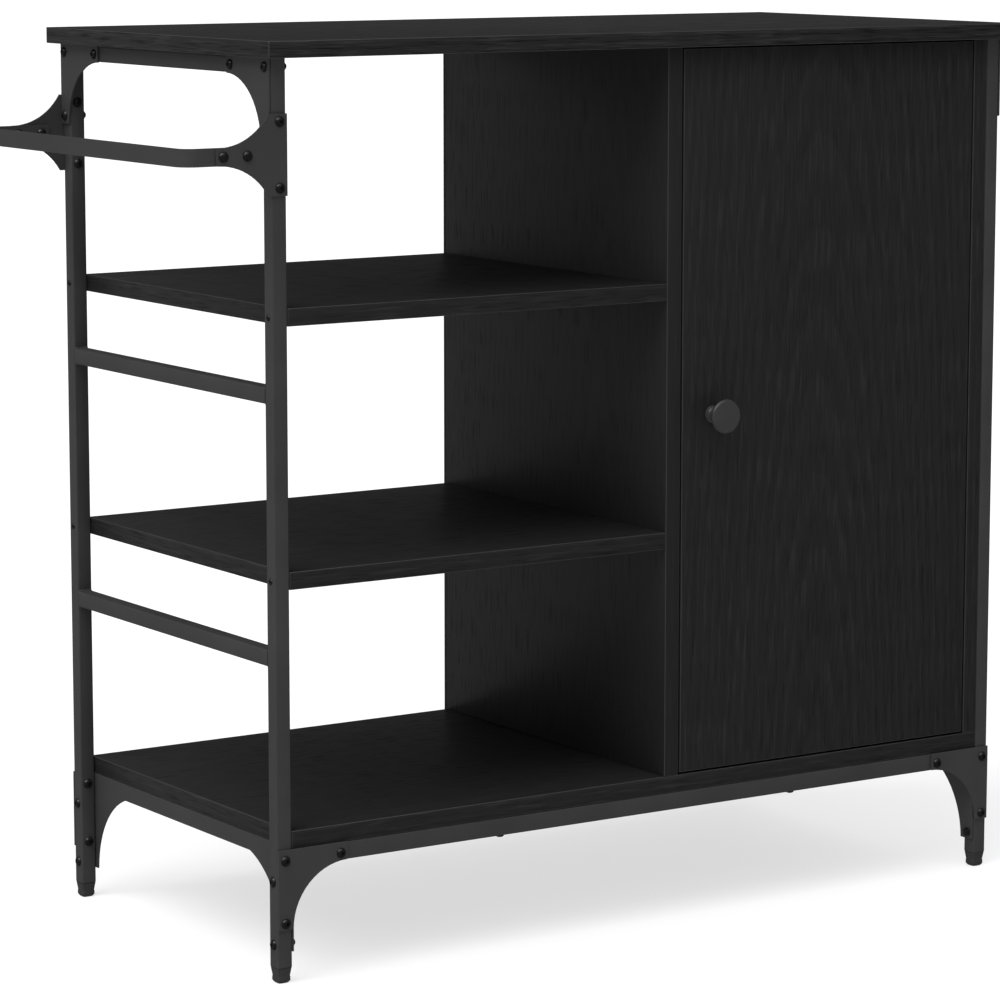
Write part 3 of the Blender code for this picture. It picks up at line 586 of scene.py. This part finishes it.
def lay_grain(piece, grain_axis):
    """A UV map in metres, across and along the grain, centred on the board."""
    mesh = piece.data
    corners = [vertex.co for vertex in mesh.vertices]
    low = Vector([min(co[axis] for co in corners) for axis in range(3)])
    high = Vector([max(co[axis] for co in corners) for axis in range(3)])
    size, centre = high - low, (low + high) / 2
    thin_axis = min(range(3), key=lambda axis: size[axis])
    wide_axis = 3 - grain_axis - thin_axis
    layout = {thin_axis: (wide_axis, grain_axis), wide_axis: (thin_axis, grain_axis),
              grain_axis: (thin_axis, wide_axis)}
    grain_map = mesh.uv_layers.new(name="grain")
    arris = mesh.attributes.new("arris", "FLOAT", "FACE")
    for face in mesh.polygons:
        # The faces of a rounding get the arris mask, which the oak paints as a paler line: a
        # painted highlight.
        arris.data[face.index].value = float(max(abs(part) for part in face.normal) < FLAT_FACE)
        facing = max(range(3), key=lambda axis: abs(face.normal[axis]))
        across_axis, along_axis = layout[facing]
        side = 1.0 if face.normal[facing] > 0 else -1.0
        shift = 0.0 if facing == thin_axis else EDGE_SHIFT * (1 + facing)
        for loop in face.loop_indices:
            place = corners[mesh.loops[loop].vertex_index] - centre
            grain_map.data[loop].uv = (place[across_axis] * side + shift,
                                       place[along_axis] + shift * side)


print("edge bands of the grain map are", EDGE_SHIFT, "m apart")

# %% Oak boards
X_GRAIN, Z_GRAIN = 0, 2
# board: (grain axis, core across the board, taper, depth of the core, contrast, relief, seed)
OAK_BOARDS = {
    "worktop": (X_GRAIN, -0.06, 0.05, 0.050, 1.3, 0.30 * MM, 1.0),
    "bottom_board": (X_GRAIN, 0.10, 0.06, 0.045, 0.8, 0.08 * MM, 2.0),
    "upper_shelf": (X_GRAIN, 0.05, 0.07, 0.040, 0.8, 0.08 * MM, 3.0),
    "lower_shelf": (X_GRAIN, -0.09, 0.06, 0.050, 0.8, 0.08 * MM, 4.0),
    "cabinet_shelf": (X_GRAIN, 0.02, 0.06, 0.050, 0.8, 0.08 * MM, 5.0),
    "divider_panel": (Z_GRAIN, 0.08, 0.07, 0.060, 0.3, 0.05 * MM, 6.0),
    "right_side_panel": (Z_GRAIN, -0.04, -0.06, 0.050, 0.7, 0.08 * MM, 7.0),
    "door_panel": (Z_GRAIN, 0.01, 0.110, 0.070, 0.70, 0.08 * MM, 8.0),
}
for board, (axis, *figure_values) in OAK_BOARDS.items():
    oak = black_oak("black_oak_" + board, *figure_values)
    piece = finished_copy(board, oak, arris=0.0)
    lay_grain(piece, axis)
    place_piece(piece, body_of[board], "black_oak", board)
    print(board, len(piece.data.polygons), "faces")

# %% [markdown]
# ## Steel, plastic, nickel and hardboard pieces
# Everything else but the knob has the right shape in the solid model, and only needs a finer
# edge and its finish. A cut sheet's edge is nearly sharp and a moulded edge is rounder, so each
# finish has its own rounding. The handle's bolts and the front rail's screws take the bolts'
# black, which is darker and glossier than the frames' paint.

# %% Pieces that only need a finer edge
ARRIS = {"black_steel": 0.35 * MM, "black_plastic": 0.4 * MM, "nickel_steel": 0.2 * MM,
         "black_hardboard": 0.3 * MM}
FINISH = {"black_steel": STEEL, "black_plastic": PLASTIC, "nickel_steel": NICKEL,
          "black_hardboard": HARDBOARD}
for node, slot in slot_of.items():
    if slot in FINISH and node != "knob":
        is_fastener = "bolt" in node or "rail_screw" in node
        piece = finished_copy(node, BOLT_STEEL if is_fastener else FINISH[slot], ARRIS[slot])
        place_piece(piece, body_of[node], slot, node)

# %% [markdown]
# ## Knob
# The knob is turned from one bar on a lathe: a flange against the door, a waist, a flare and
# a slightly domed head with a round rim. A profile is drawn from the middle of the face to the
# middle of the back and spun about the knob's axis. Its solid gives the length, the radius and
# the place.

# %% Knob
KNOB_WAIST, KNOB_FLANGE = 5.4 * MM, 8.2 * MM        # radii
KNOB_RIM, KNOB_RIM_DEPTH = 3.4 * MM, 2.6 * MM       # the head's round rim, in width and depth
KNOB_DOME = 1.2 * MM                                # the face's rise over its flat
WAIST_TOP, COVE_TOP, FLANGE_TOP = 11.0 * MM, 5.0 * MM, 1.6 * MM     # heights over the door
COVE_WIDTH, COVE_HEIGHT = 2.2 * MM, 3.0 * MM        # the hollow curve from the waist outwards
FLANGE_ARRIS = 0.3 * MM
FLARE_CURVE = 1.8                                   # above 1, the flare opens late


def spun(name, profile, steps=96):
    """A shape turned about -Y from (radius, distance from the door) points, closed at its ends."""
    mesh = bpy.data.meshes.new(name)
    shape = bmesh.new()
    line = [shape.verts.new((radius, -reach, 0.0)) for radius, reach in profile]
    edges = [shape.edges.new(pair) for pair in zip(line, line[1:])]
    bmesh.ops.spin(shape, geom=line + edges, cent=(0.0, 0.0, 0.0), axis=(0.0, 1.0, 0.0),
                   angle=2 * pi, steps=steps, use_merge=True)
    bmesh.ops.remove_doubles(shape, verts=shape.verts, dist=MERGE_DISTANCE)
    bmesh.ops.recalc_face_normals(shape, faces=shape.faces)
    shape.to_mesh(mesh)
    shape.free()
    return mesh


def knob_profile(radius, length):
    """From the middle of the domed face, round the rim, down the flare to the flange."""
    flat = radius - KNOB_RIM
    face = [(flat * step / 8, length - KNOB_DOME * (step / 8) ** 2) for step in range(9)]
    rim_top = length - KNOB_DOME - KNOB_RIM_DEPTH
    edge = [(flat + KNOB_RIM * sin(radians(angle)),
             rim_top + KNOB_RIM_DEPTH * cos(radians(angle))) for angle in range(10, 151, 10)]
    flare_radius, flare_top = edge[-1]
    flare = [(KNOB_WAIST + (flare_radius - KNOB_WAIST) * (1 - step / 12) ** FLARE_CURVE,
              flare_top + (WAIST_TOP - flare_top) * step / 12) for step in range(1, 13)]
    cove = [(KNOB_WAIST + COVE_WIDTH * (1 - cos(radians(angle))),
             COVE_TOP - COVE_HEIGHT * sin(radians(angle))) for angle in range(0, 91, 15)]
    flange = [(KNOB_FLANGE, FLANGE_TOP), (KNOB_FLANGE, FLANGE_ARRIS),
              (KNOB_FLANGE - FLANGE_ARRIS, 0.0), (0.0, 0.0)]
    return face + edge + flare + cove + flange


def extent(node):
    """A solid's lowest corner, highest corner and middle."""
    low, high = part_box(node)
    return low, high, (low + high) / 2


low, high, middle = extent("knob")
knob_mesh = spun("knob_finished", knob_profile((high.x - low.x) / 2, high.y - low.y))
knob_mesh.transform(Matrix.Translation((middle.x, high.y, middle.z)))
knob = bpy.data.objects.new("knob_finished", knob_mesh)
scene.collection.objects.link(knob)
knob_mesh.materials.append(KNOB_PAINT)
knob_mesh.shade_smooth()
knob_mesh.set_sharp_from_angle(angle=SMOOTH_ANGLE)
place_piece(knob, body_of["knob"], slot_of["knob"], "knob")
print("knob:", len(knob_mesh.polygons), "faces")

# %% [markdown]
# ## Bolts and nuts
# The frames are bolted together through their sheet plates. The bolts are all alike: a domed
# head with a hexagon socket, a shank through the tube and the plate, and a hexagon nut behind
# them. Geometry Nodes make one of each and set it at every place, so that a change of size
# changes them all. A place is a point that carries two facts: the way the head faces, and the
# grip, which is the thickness between the head and the nut. Where a bolt goes into a board, a
# grip of zero leaves out its shank and nut.

# %% Solid shapes for the trees
def dome(tree, radius, height, segments=24):
    """A domed head on the plane z = 0: a sphere, flattened, with its lower half pressed flat."""
    ball = add(tree, "GeometryNodeMeshUVSphere", {"Segments": segments, "Rings": segments // 2,
                                                  "Radius": radius}).outputs["Mesh"]
    position = add(tree, "GeometryNodeInputPosition").outputs[0]
    place = add(tree, "ShaderNodeSeparateXYZ", {0: position})
    raised = calc(tree, "MULTIPLY", calc(tree, "MAXIMUM", place.outputs["Z"], 0.0),
                  calc(tree, "DIVIDE", height, radius))
    pressed = vector(tree, place.outputs["X"], place.outputs["Y"], raised)
    return add(tree, "GeometryNodeSetPosition", {"Geometry": ball, "Position": pressed}).outputs[0]


def prism(tree, sides, radius, depth, middle):
    """An upright prism whose middle is at a height on the z axis."""
    bar = add(tree, "GeometryNodeMeshCylinder", {"Vertices": sides, "Radius": radius,
                                                 "Depth": depth}).outputs["Mesh"]
    return add(tree, "GeometryNodeTransform", {"Geometry": bar,
                                               "Translation": vector(tree, z=middle)}).outputs[0]


def carved(tree, operation, solid, *tools):
    """A Boolean of one solid with others."""
    boolean = add(tree, "GeometryNodeMeshBoolean", operation=operation)
    first = boolean.inputs["Mesh 1"] if operation == "DIFFERENCE" else boolean.inputs["Mesh 2"]
    tree.links.new(solid, first)
    for tool in tools:
        tree.links.new(tool, boolean.inputs["Mesh 2"])
    return boolean.outputs["Mesh"]


def on_points(tree, points, shape, turn, **more):
    """A shape set on every point and turned; more names any other input of the node."""
    inputs = {"Points": points, "Instance": shape, "Rotation": turn, **more}
    return add(tree, "GeometryNodeInstanceOnPoints", inputs).outputs[0]


print("shapes for the trees:", [item.__name__ for item in (dome, prism, carved, on_points)])

# %% From the points to a plain mesh
def facing_attribute(tree):
    """The direction stored on each point, and the turn that brings z to it."""
    facing = add(tree, "GeometryNodeInputNamedAttribute", {"Name": "facing"},
                 data_type="FLOAT_VECTOR").outputs["Attribute"]
    turn = add(tree, "FunctionNodeAlignRotationToVector", {"Vector": facing}, axis="Z").outputs[0]
    return facing, turn


def finished_tree(tree, out, material, *shapes):
    """Join the instances, make them real and give them the material."""
    joined = add(tree, "GeometryNodeJoinGeometry")
    for shape in shapes:
        tree.links.new(shape, joined.inputs[0])
    real = add(tree, "GeometryNodeRealizeInstances", {"Geometry": joined.outputs[0]}).outputs[0]
    painted = add(tree, "GeometryNodeSetMaterial", {"Geometry": real, "Material": material})
    tree.links.new(painted.outputs[0], out.inputs[0])


def grown_piece(name, tree, points, edges, facts, values, body, slot):
    """A piece grown by a tree on points, made one plain mesh that rides on one body."""
    mesh = bpy.data.meshes.new(name)
    mesh.from_pydata(points, edges, [])
    for fact, numbers in facts.items():
        is_vector = isinstance(numbers[0], Vector)
        stored = mesh.attributes.new(fact, "FLOAT_VECTOR" if is_vector else "FLOAT", "POINT")
        for item, number in zip(stored.data, numbers):
            setattr(item, "vector" if is_vector else "value", number)
    piece = bpy.data.objects.new(name, mesh)
    scene.collection.objects.link(piece)
    modifier = piece.modifiers.new("grow", "NODES")
    modifier.node_group = tree
    for item in tree.interface.items_tree:
        if item.in_out == "INPUT" and item.name in values:
            modifier[item.identifier] = values[item.name]
    baked(piece)
    piece.data.shade_smooth()
    piece.data.set_sharp_from_angle(angle=SMOOTH_ANGLE)
    place_piece(piece, body, slot)
    print(name, "on", len(points), "points:", len(piece.data.polygons), "faces")


print("a point's facts: facing, and a bolt's grip")

# %% Bolt tree
SOCKET_MIDDLE = 0.95       # of the head's height, so that the socket is open on top

bolt_tree = bpy.data.node_groups.new("through_bolts", "GeometryNodeTree")
bolt_in, bolt_out = sockets(
    bolt_tree,
    inputs=[("Geometry", "Geometry", None), ("Head Radius", "Float", 0.00475),
            ("Head Height", "Float", 0.003), ("Socket Radius", "Float", 0.0018),
            ("Thread Radius", "Float", 0.0024), ("Thread End", "Float", 0.0012),
            ("Nut Radius", "Float", 0.0046), ("Nut Height", "Float", 0.0028),
            ("Material", "Material", None)],
    outputs=[("Geometry", "Geometry")])
size = bolt_in.outputs
facing, turn = facing_attribute(bolt_tree)
grip = add(bolt_tree, "GeometryNodeInputNamedAttribute", {"Name": "grip"},
           data_type="FLOAT").outputs["Attribute"]
has_nut = calc(bolt_tree, "GREATER_THAN", grip, 0.0)

socket_middle = calc(bolt_tree, "MULTIPLY", size["Head Height"], SOCKET_MIDDLE)
head = carved(bolt_tree, "DIFFERENCE", dome(bolt_tree, size["Head Radius"], size["Head Height"]),
              prism(bolt_tree, 6, size["Socket Radius"], size["Head Height"], socket_middle))
heads = on_points(bolt_tree, size["Geometry"], head, turn)
print("bolt heads:", len(bolt_tree.nodes), "nodes")

# %% Nuts and shanks
BALL_RADIUS, BALL_HEIGHT = 1.01, 0.68      # of the nut's; the ball rounds off the nut's corners

half_nut = calc(bolt_tree, "MULTIPLY", size["Nut Height"], -0.5)
ball_scale = vector(bolt_tree, size["Nut Radius"], size["Nut Radius"],
                    calc(bolt_tree, "MULTIPLY", size["Nut Height"], BALL_HEIGHT))
ball = add(bolt_tree, "GeometryNodeMeshUVSphere", {"Segments": 36, "Rings": 18,
                                                   "Radius": BALL_RADIUS}).outputs["Mesh"]
ball = add(bolt_tree, "GeometryNodeTransform", {
    "Geometry": ball, "Scale": ball_scale,
    "Translation": vector(bolt_tree, z=half_nut)}).outputs[0]
nut = carved(bolt_tree, "INTERSECT", ball,
             prism(bolt_tree, 6, size["Nut Radius"], size["Nut Height"], half_nut))
to_nut = add(bolt_tree, "ShaderNodeVectorMath", {
    0: facing, "Scale": calc(bolt_tree, "MULTIPLY", grip, -1.0)},
    operation="SCALE").outputs["Vector"]
nut_places = add(bolt_tree, "GeometryNodeSetPosition", {"Geometry": size["Geometry"],
                                                        "Offset": to_nut}).outputs[0]
nuts = on_points(bolt_tree, nut_places, nut, turn, Selection=has_nut)

shank = prism(bolt_tree, 20, size["Thread Radius"], 1.0, -0.5)
past_grip = calc(bolt_tree, "ADD", size["Nut Height"], size["Thread End"])
shank_length = calc(bolt_tree, "ADD", grip, past_grip)
shanks = on_points(bolt_tree, size["Geometry"], shank, turn, Selection=has_nut,
                   Scale=vector(bolt_tree, 1.0, 1.0, shank_length))
finished_tree(bolt_tree, bolt_out, size["Material"], heads, nuts, shanks)
print("bolt tree:", len(bolt_tree.nodes), "nodes")

# %% [markdown]
# ## Where the bolts go
# Every bolt goes through a stack of solids, such as a post and a corner plate, and its place
# is measured from the plate's top edge and from the post's middle. The solids give the stack's
# two faces. Bolts that run from front to back have their heads in front, and bolts that run
# sideways have their heads on the cart's outside.

# %% Places of the bolts
X, Y = 0, 1
RAIL_BOLT_REACH = 65.5 * MM            # from the post's outer face to the bolt in the rail
CORNER_DROPS = (10.1 * MM, 67.8 * MM)  # below a corner plate's top edge
SIDE_DROPS = (29.8 * MM, 87.8 * MM)    # below a side plate's top edge
GUSSET_DROPS = (7.7 * MM, 67.7 * MM)   # below a gusset's top edge
GUSSET_REACH = 68.0 * MM               # from the frame's end to the bolt in the top rail
BRACKET_BOLTS = 29.0 * MM              # above and below the middle of a handle bracket
bolt_places, bolt_facings, bolt_grips = [], [], []


def through_bolt(across, up, axis, outwards, layers, has_nut=True):
    """A bolt through a stack of solids along X or Y; across and up place it on the stack."""
    faces = [corner[axis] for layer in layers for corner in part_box(layer)]
    seat, far = (max(faces), min(faces)) if outwards > 0 else (min(faces), max(faces))
    place, facing = Vector((across, across, up)), Vector((0.0, 0.0, 0.0))
    place[axis], facing[axis] = seat, outwards
    bolt_places.append(place)
    bolt_facings.append(facing)
    bolt_grips.append(abs(far - seat) if has_nut else 0.0)


for end in ("front", "rear"):
    inwards = 1 if end == "front" else -1
    for side in ("left", "right"):
        is_left = side == "left"
        outside = -1 if is_left else 1
        post, plate, gusset = [f"{end}_{side}_{kind}"
                               for kind in ("post", "corner_plate", "gusset")]
        low, high, middle = extent(post)
        outer_x = low.x if is_left else high.x
        outer_y = low.y if end == "front" else high.y
        plate_top, gusset_top = extent(plate)[1].z, extent(gusset)[1].z
        side_top = extent(f"{side}_bottom_plate")[1].z
        for drop in CORNER_DROPS:
            through_bolt(middle.x, plate_top - drop, Y, -1, (post, plate))
        through_bolt(outer_x - outside * RAIL_BOLT_REACH, plate_top - CORNER_DROPS[0], Y, -1,
                     (f"{end}_bottom_rail", plate))
        for drop in SIDE_DROPS:
            through_bolt(middle.y, side_top - drop, X, outside, (post, f"{side}_bottom_plate"))
        for drop in GUSSET_DROPS:
            through_bolt(middle.y, gusset_top - drop, X, outside, (post, gusset), has_nut=is_left)
        through_bolt(outer_y + inwards * GUSSET_REACH, gusset_top - GUSSET_DROPS[0], X, outside,
                     (f"{side}_top_rail", gusset), has_nut=is_left)
    bracket, left_post = f"{end}_handle_bracket", f"{end}_left_post"
    for offset in (-BRACKET_BOLTS, BRACKET_BOLTS):
        through_bolt(extent(left_post)[2].x, extent(bracket)[2].z + offset, Y, -1,
                     (left_post, bracket))

grown_piece("frame_bolts", bolt_tree, bolt_places, [],
            {"facing": bolt_facings, "grip": bolt_grips}, {"Material": BOLT_STEEL},
            "cart", "black_steel")

# %% [markdown]
# ## Screws
# The shelves are screwed on through the left posts and the side panel through the right ones.
# The hinges, the catch, its strike plate and the cabinet's back have small cross-head screws.
# Only a screw's head shows, a low dome with a cross pressed into it, so nothing else is made.
# One tree makes them all, and its inputs give each kind its size and its finish.

# %% Screw tree
CROSS_LENGTH, CROSS_WIDTH, CROSS_DEPTH = 1.15, 0.26, 1.3    # of the head's radius and height

screw_tree = bpy.data.node_groups.new("cross_head_screws", "GeometryNodeTree")
screw_in, screw_out = sockets(
    screw_tree,
    inputs=[("Geometry", "Geometry", None), ("Head Radius", "Float", 0.003),
            ("Head Height", "Float", 0.0012), ("Material", "Material", None)],
    outputs=[("Geometry", "Geometry")])
size = screw_in.outputs
facing, turn = facing_attribute(screw_tree)
cross_long = calc(screw_tree, "MULTIPLY", size["Head Radius"], CROSS_LENGTH)
cross_wide = calc(screw_tree, "MULTIPLY", size["Head Radius"], CROSS_WIDTH)
cross_deep = calc(screw_tree, "MULTIPLY", size["Head Height"], CROSS_DEPTH)
cross_lift = vector(screw_tree, z=size["Head Height"])
bars = []
for length, width in ((cross_long, cross_wide), (cross_wide, cross_long)):
    bar = add(screw_tree, "GeometryNodeMeshCube", {
        "Size": vector(screw_tree, length, width, cross_deep)}).outputs["Mesh"]
    bars.append(add(screw_tree, "GeometryNodeTransform", {"Geometry": bar,
                                                          "Translation": cross_lift}).outputs[0])
head = carved(screw_tree, "DIFFERENCE",
              dome(screw_tree, size["Head Radius"], size["Head Height"]), *bars)
heads = on_points(screw_tree, size["Geometry"], head, turn)
finished_tree(screw_tree, screw_out, size["Material"], heads)
print("screw tree:", len(screw_tree.nodes), "nodes")

# %% Shelf and side panel screws
places, facings = [], []
for side, outside in (("left", -1), ("right", 1)):
    for end in ("front", "rear"):
        low, high, middle = extent(f"{end}_{side}_post")
        for shelf in ("upper_shelf", "lower_shelf"):
            places.append(Vector((low.x if outside < 0 else high.x, middle.y,
                                  extent(shelf)[2].z)))
            facings.append(Vector((outside, 0.0, 0.0)))
grown_piece("shelf_screws", screw_tree, places, [], {"facing": facings},
            {"Head Radius": 2.9 * MM, "Head Height": 1.5 * MM, "Material": BOLT_STEEL},
            "cart", "black_steel")

# %% Hinge and catch screws
BACKWARDS, TO_LEFT, TO_RIGHT = Vector((0, 1, 0)), Vector((-1, 0, 0)), Vector((1, 0, 0))
CUP_EAR, PLATE_SCREW = 22.5 * MM, 16.0 * MM      # from the part's middle to its two screws
STRIKE_SCREW, CATCH_SCREW = 11.0 * MM, 14.0 * MM
ARM_SETBACKS = (8.0 * MM, 24.0 * MM)             # from the arm's rear end to its two screws
on_door, on_cart = [], []
for level in ("upper", "lower"):
    cup_back, cup = extent(f"{level}_hinge_cup")[1:]
    plate_side, _, plate = extent(f"{level}_hinge_plate")
    arm_side, arm_back, _ = extent(f"{level}_hinge_arm")
    for side in (-1, 1):
        on_door.append((Vector((cup.x, cup_back.y, cup.z + side * CUP_EAR)), BACKWARDS))
        on_cart.append((Vector((plate_side.x, plate.y, plate.z + side * PLATE_SCREW)), TO_LEFT))
    for setback in ARM_SETBACKS:
        on_cart.append((Vector((arm_side.x, arm_back.y - setback, plate.z)), TO_LEFT))
strike_back, strike = extent("strike_plate")[1:]
catch_side, catch = extent("magnetic_catch")[1:]
for side in (-1, 1):
    on_door.append((Vector((strike.x, strike_back.y, strike.z + side * STRIKE_SCREW)), BACKWARDS))
    on_cart.append((Vector((catch_side.x, catch.y, catch.z + side * CATCH_SCREW)), TO_RIGHT))
for name, body, screws in (("door_hinge_screws", "door", on_door),
                           ("cabinet_screws", "cart", on_cart)):
    grown_piece(name, screw_tree, [place for place, _ in screws], [],
                {"facing": [facing for _, facing in screws]},
                {"Head Radius": 2.8 * MM, "Head Height": 1.0 * MM, "Material": NICKEL},
                body, "nickel_steel")

# %% Back panel screws
PANEL_PITCH = 110.0 * MM               # about; each row is divided into equal gaps
low, high, _ = extent("back_panel")
gaps_up = round((high.z - low.z) / PANEL_PITCH)
places = []
for upright in ("divider_panel", "right_side_panel"):
    for step in range(gaps_up):
        places.append(Vector((extent(upright)[2].x, high.y,
                              low.z + (high.z - low.z) * (step + 0.5) / gaps_up)))
left_x, right_x = places[0].x, places[-1].x
gaps_across = round((right_x - left_x) / PANEL_PITCH)
for step in range(1, gaps_across):
    places.append(Vector((left_x + (right_x - left_x) * step / gaps_across, high.y,
                          extent("bottom_board")[2].z)))
grown_piece("back_panel_screws", screw_tree, places, [], {"facing": [BACKWARDS] * len(places)},
            {"Head Radius": 2.6 * MM, "Head Height": 0.9 * MM, "Material": BOLT_STEEL},
            "cart", "black_steel")

# %% [markdown]
# ## Welds
# The side rails are welded between the posts before the frame is painted. A weld is a row of
# small overlapping drops. It follows a line, so each joint gives one edge of a mesh along the
# rail's top or underside, and the tree turns the edges into curves, cuts them at the pitch of
# the drops, and sets a ball on every cut, each a little larger or smaller than the next. They
# are under the paint, so they take the frame's own finish.

# %% Weld tree
weld_tree = bpy.data.node_groups.new("weld_beads", "GeometryNodeTree")
weld_in, weld_out = sockets(
    weld_tree,
    inputs=[("Geometry", "Geometry", None), ("Bead Radius", "Float", 0.0014),
            ("Pitch", "Float", 0.0011), ("Unevenness", "Float", 0.12), ("Seed", "Int", 7),
            ("Material", "Material", None)],
    outputs=[("Geometry", "Geometry")])
size = weld_in.outputs
line = add(weld_tree, "GeometryNodeMeshToCurve", {0: size["Geometry"]}).outputs[0]
cuts = add(weld_tree, "GeometryNodeResampleCurve", {"Curve": line, "Length": size["Pitch"]},
           mode="LENGTH").outputs[0]
drop = add(weld_tree, "GeometryNodeMeshUVSphere", {"Segments": 14, "Rings": 8,
                                                   "Radius": size["Bead Radius"]}).outputs["Mesh"]
uneven = add(weld_tree, "FunctionNodeRandomValue", {
    2: calc(weld_tree, "SUBTRACT", 1.0, size["Unevenness"]),
    3: calc(weld_tree, "ADD", 1.0, size["Unevenness"]), "Seed": size["Seed"]},
    data_type="FLOAT").outputs[1]
drops = add(weld_tree, "GeometryNodeInstanceOnPoints", {"Points": cuts, "Instance": drop,
                                                        "Scale": uneven}).outputs[0]
finished_tree(weld_tree, weld_out, size["Material"], drops)
print("weld tree:", len(weld_tree.nodes), "nodes")

# %% Rail welds
WELD_INSET = 2.0 * MM                  # a weld stops short of the tube's rounded corners
ends, lines = [], []
for side in ("left", "right"):
    for rail in ("top", "upper", "lower"):
        low, high, _ = extent(f"{side}_{rail}_rail")
        heights = (low.z,) if rail == "top" else (low.z, high.z)
        for y in (low.y, high.y):
            for z in heights:
                lines.append((len(ends), len(ends) + 1))
                ends += [Vector((low.x + WELD_INSET, y, z)), Vector((high.x - WELD_INSET, y, z))]
grown_piece("rail_welds", weld_tree, ends, lines, {}, {"Material": STEEL}, "cart", "black_steel")
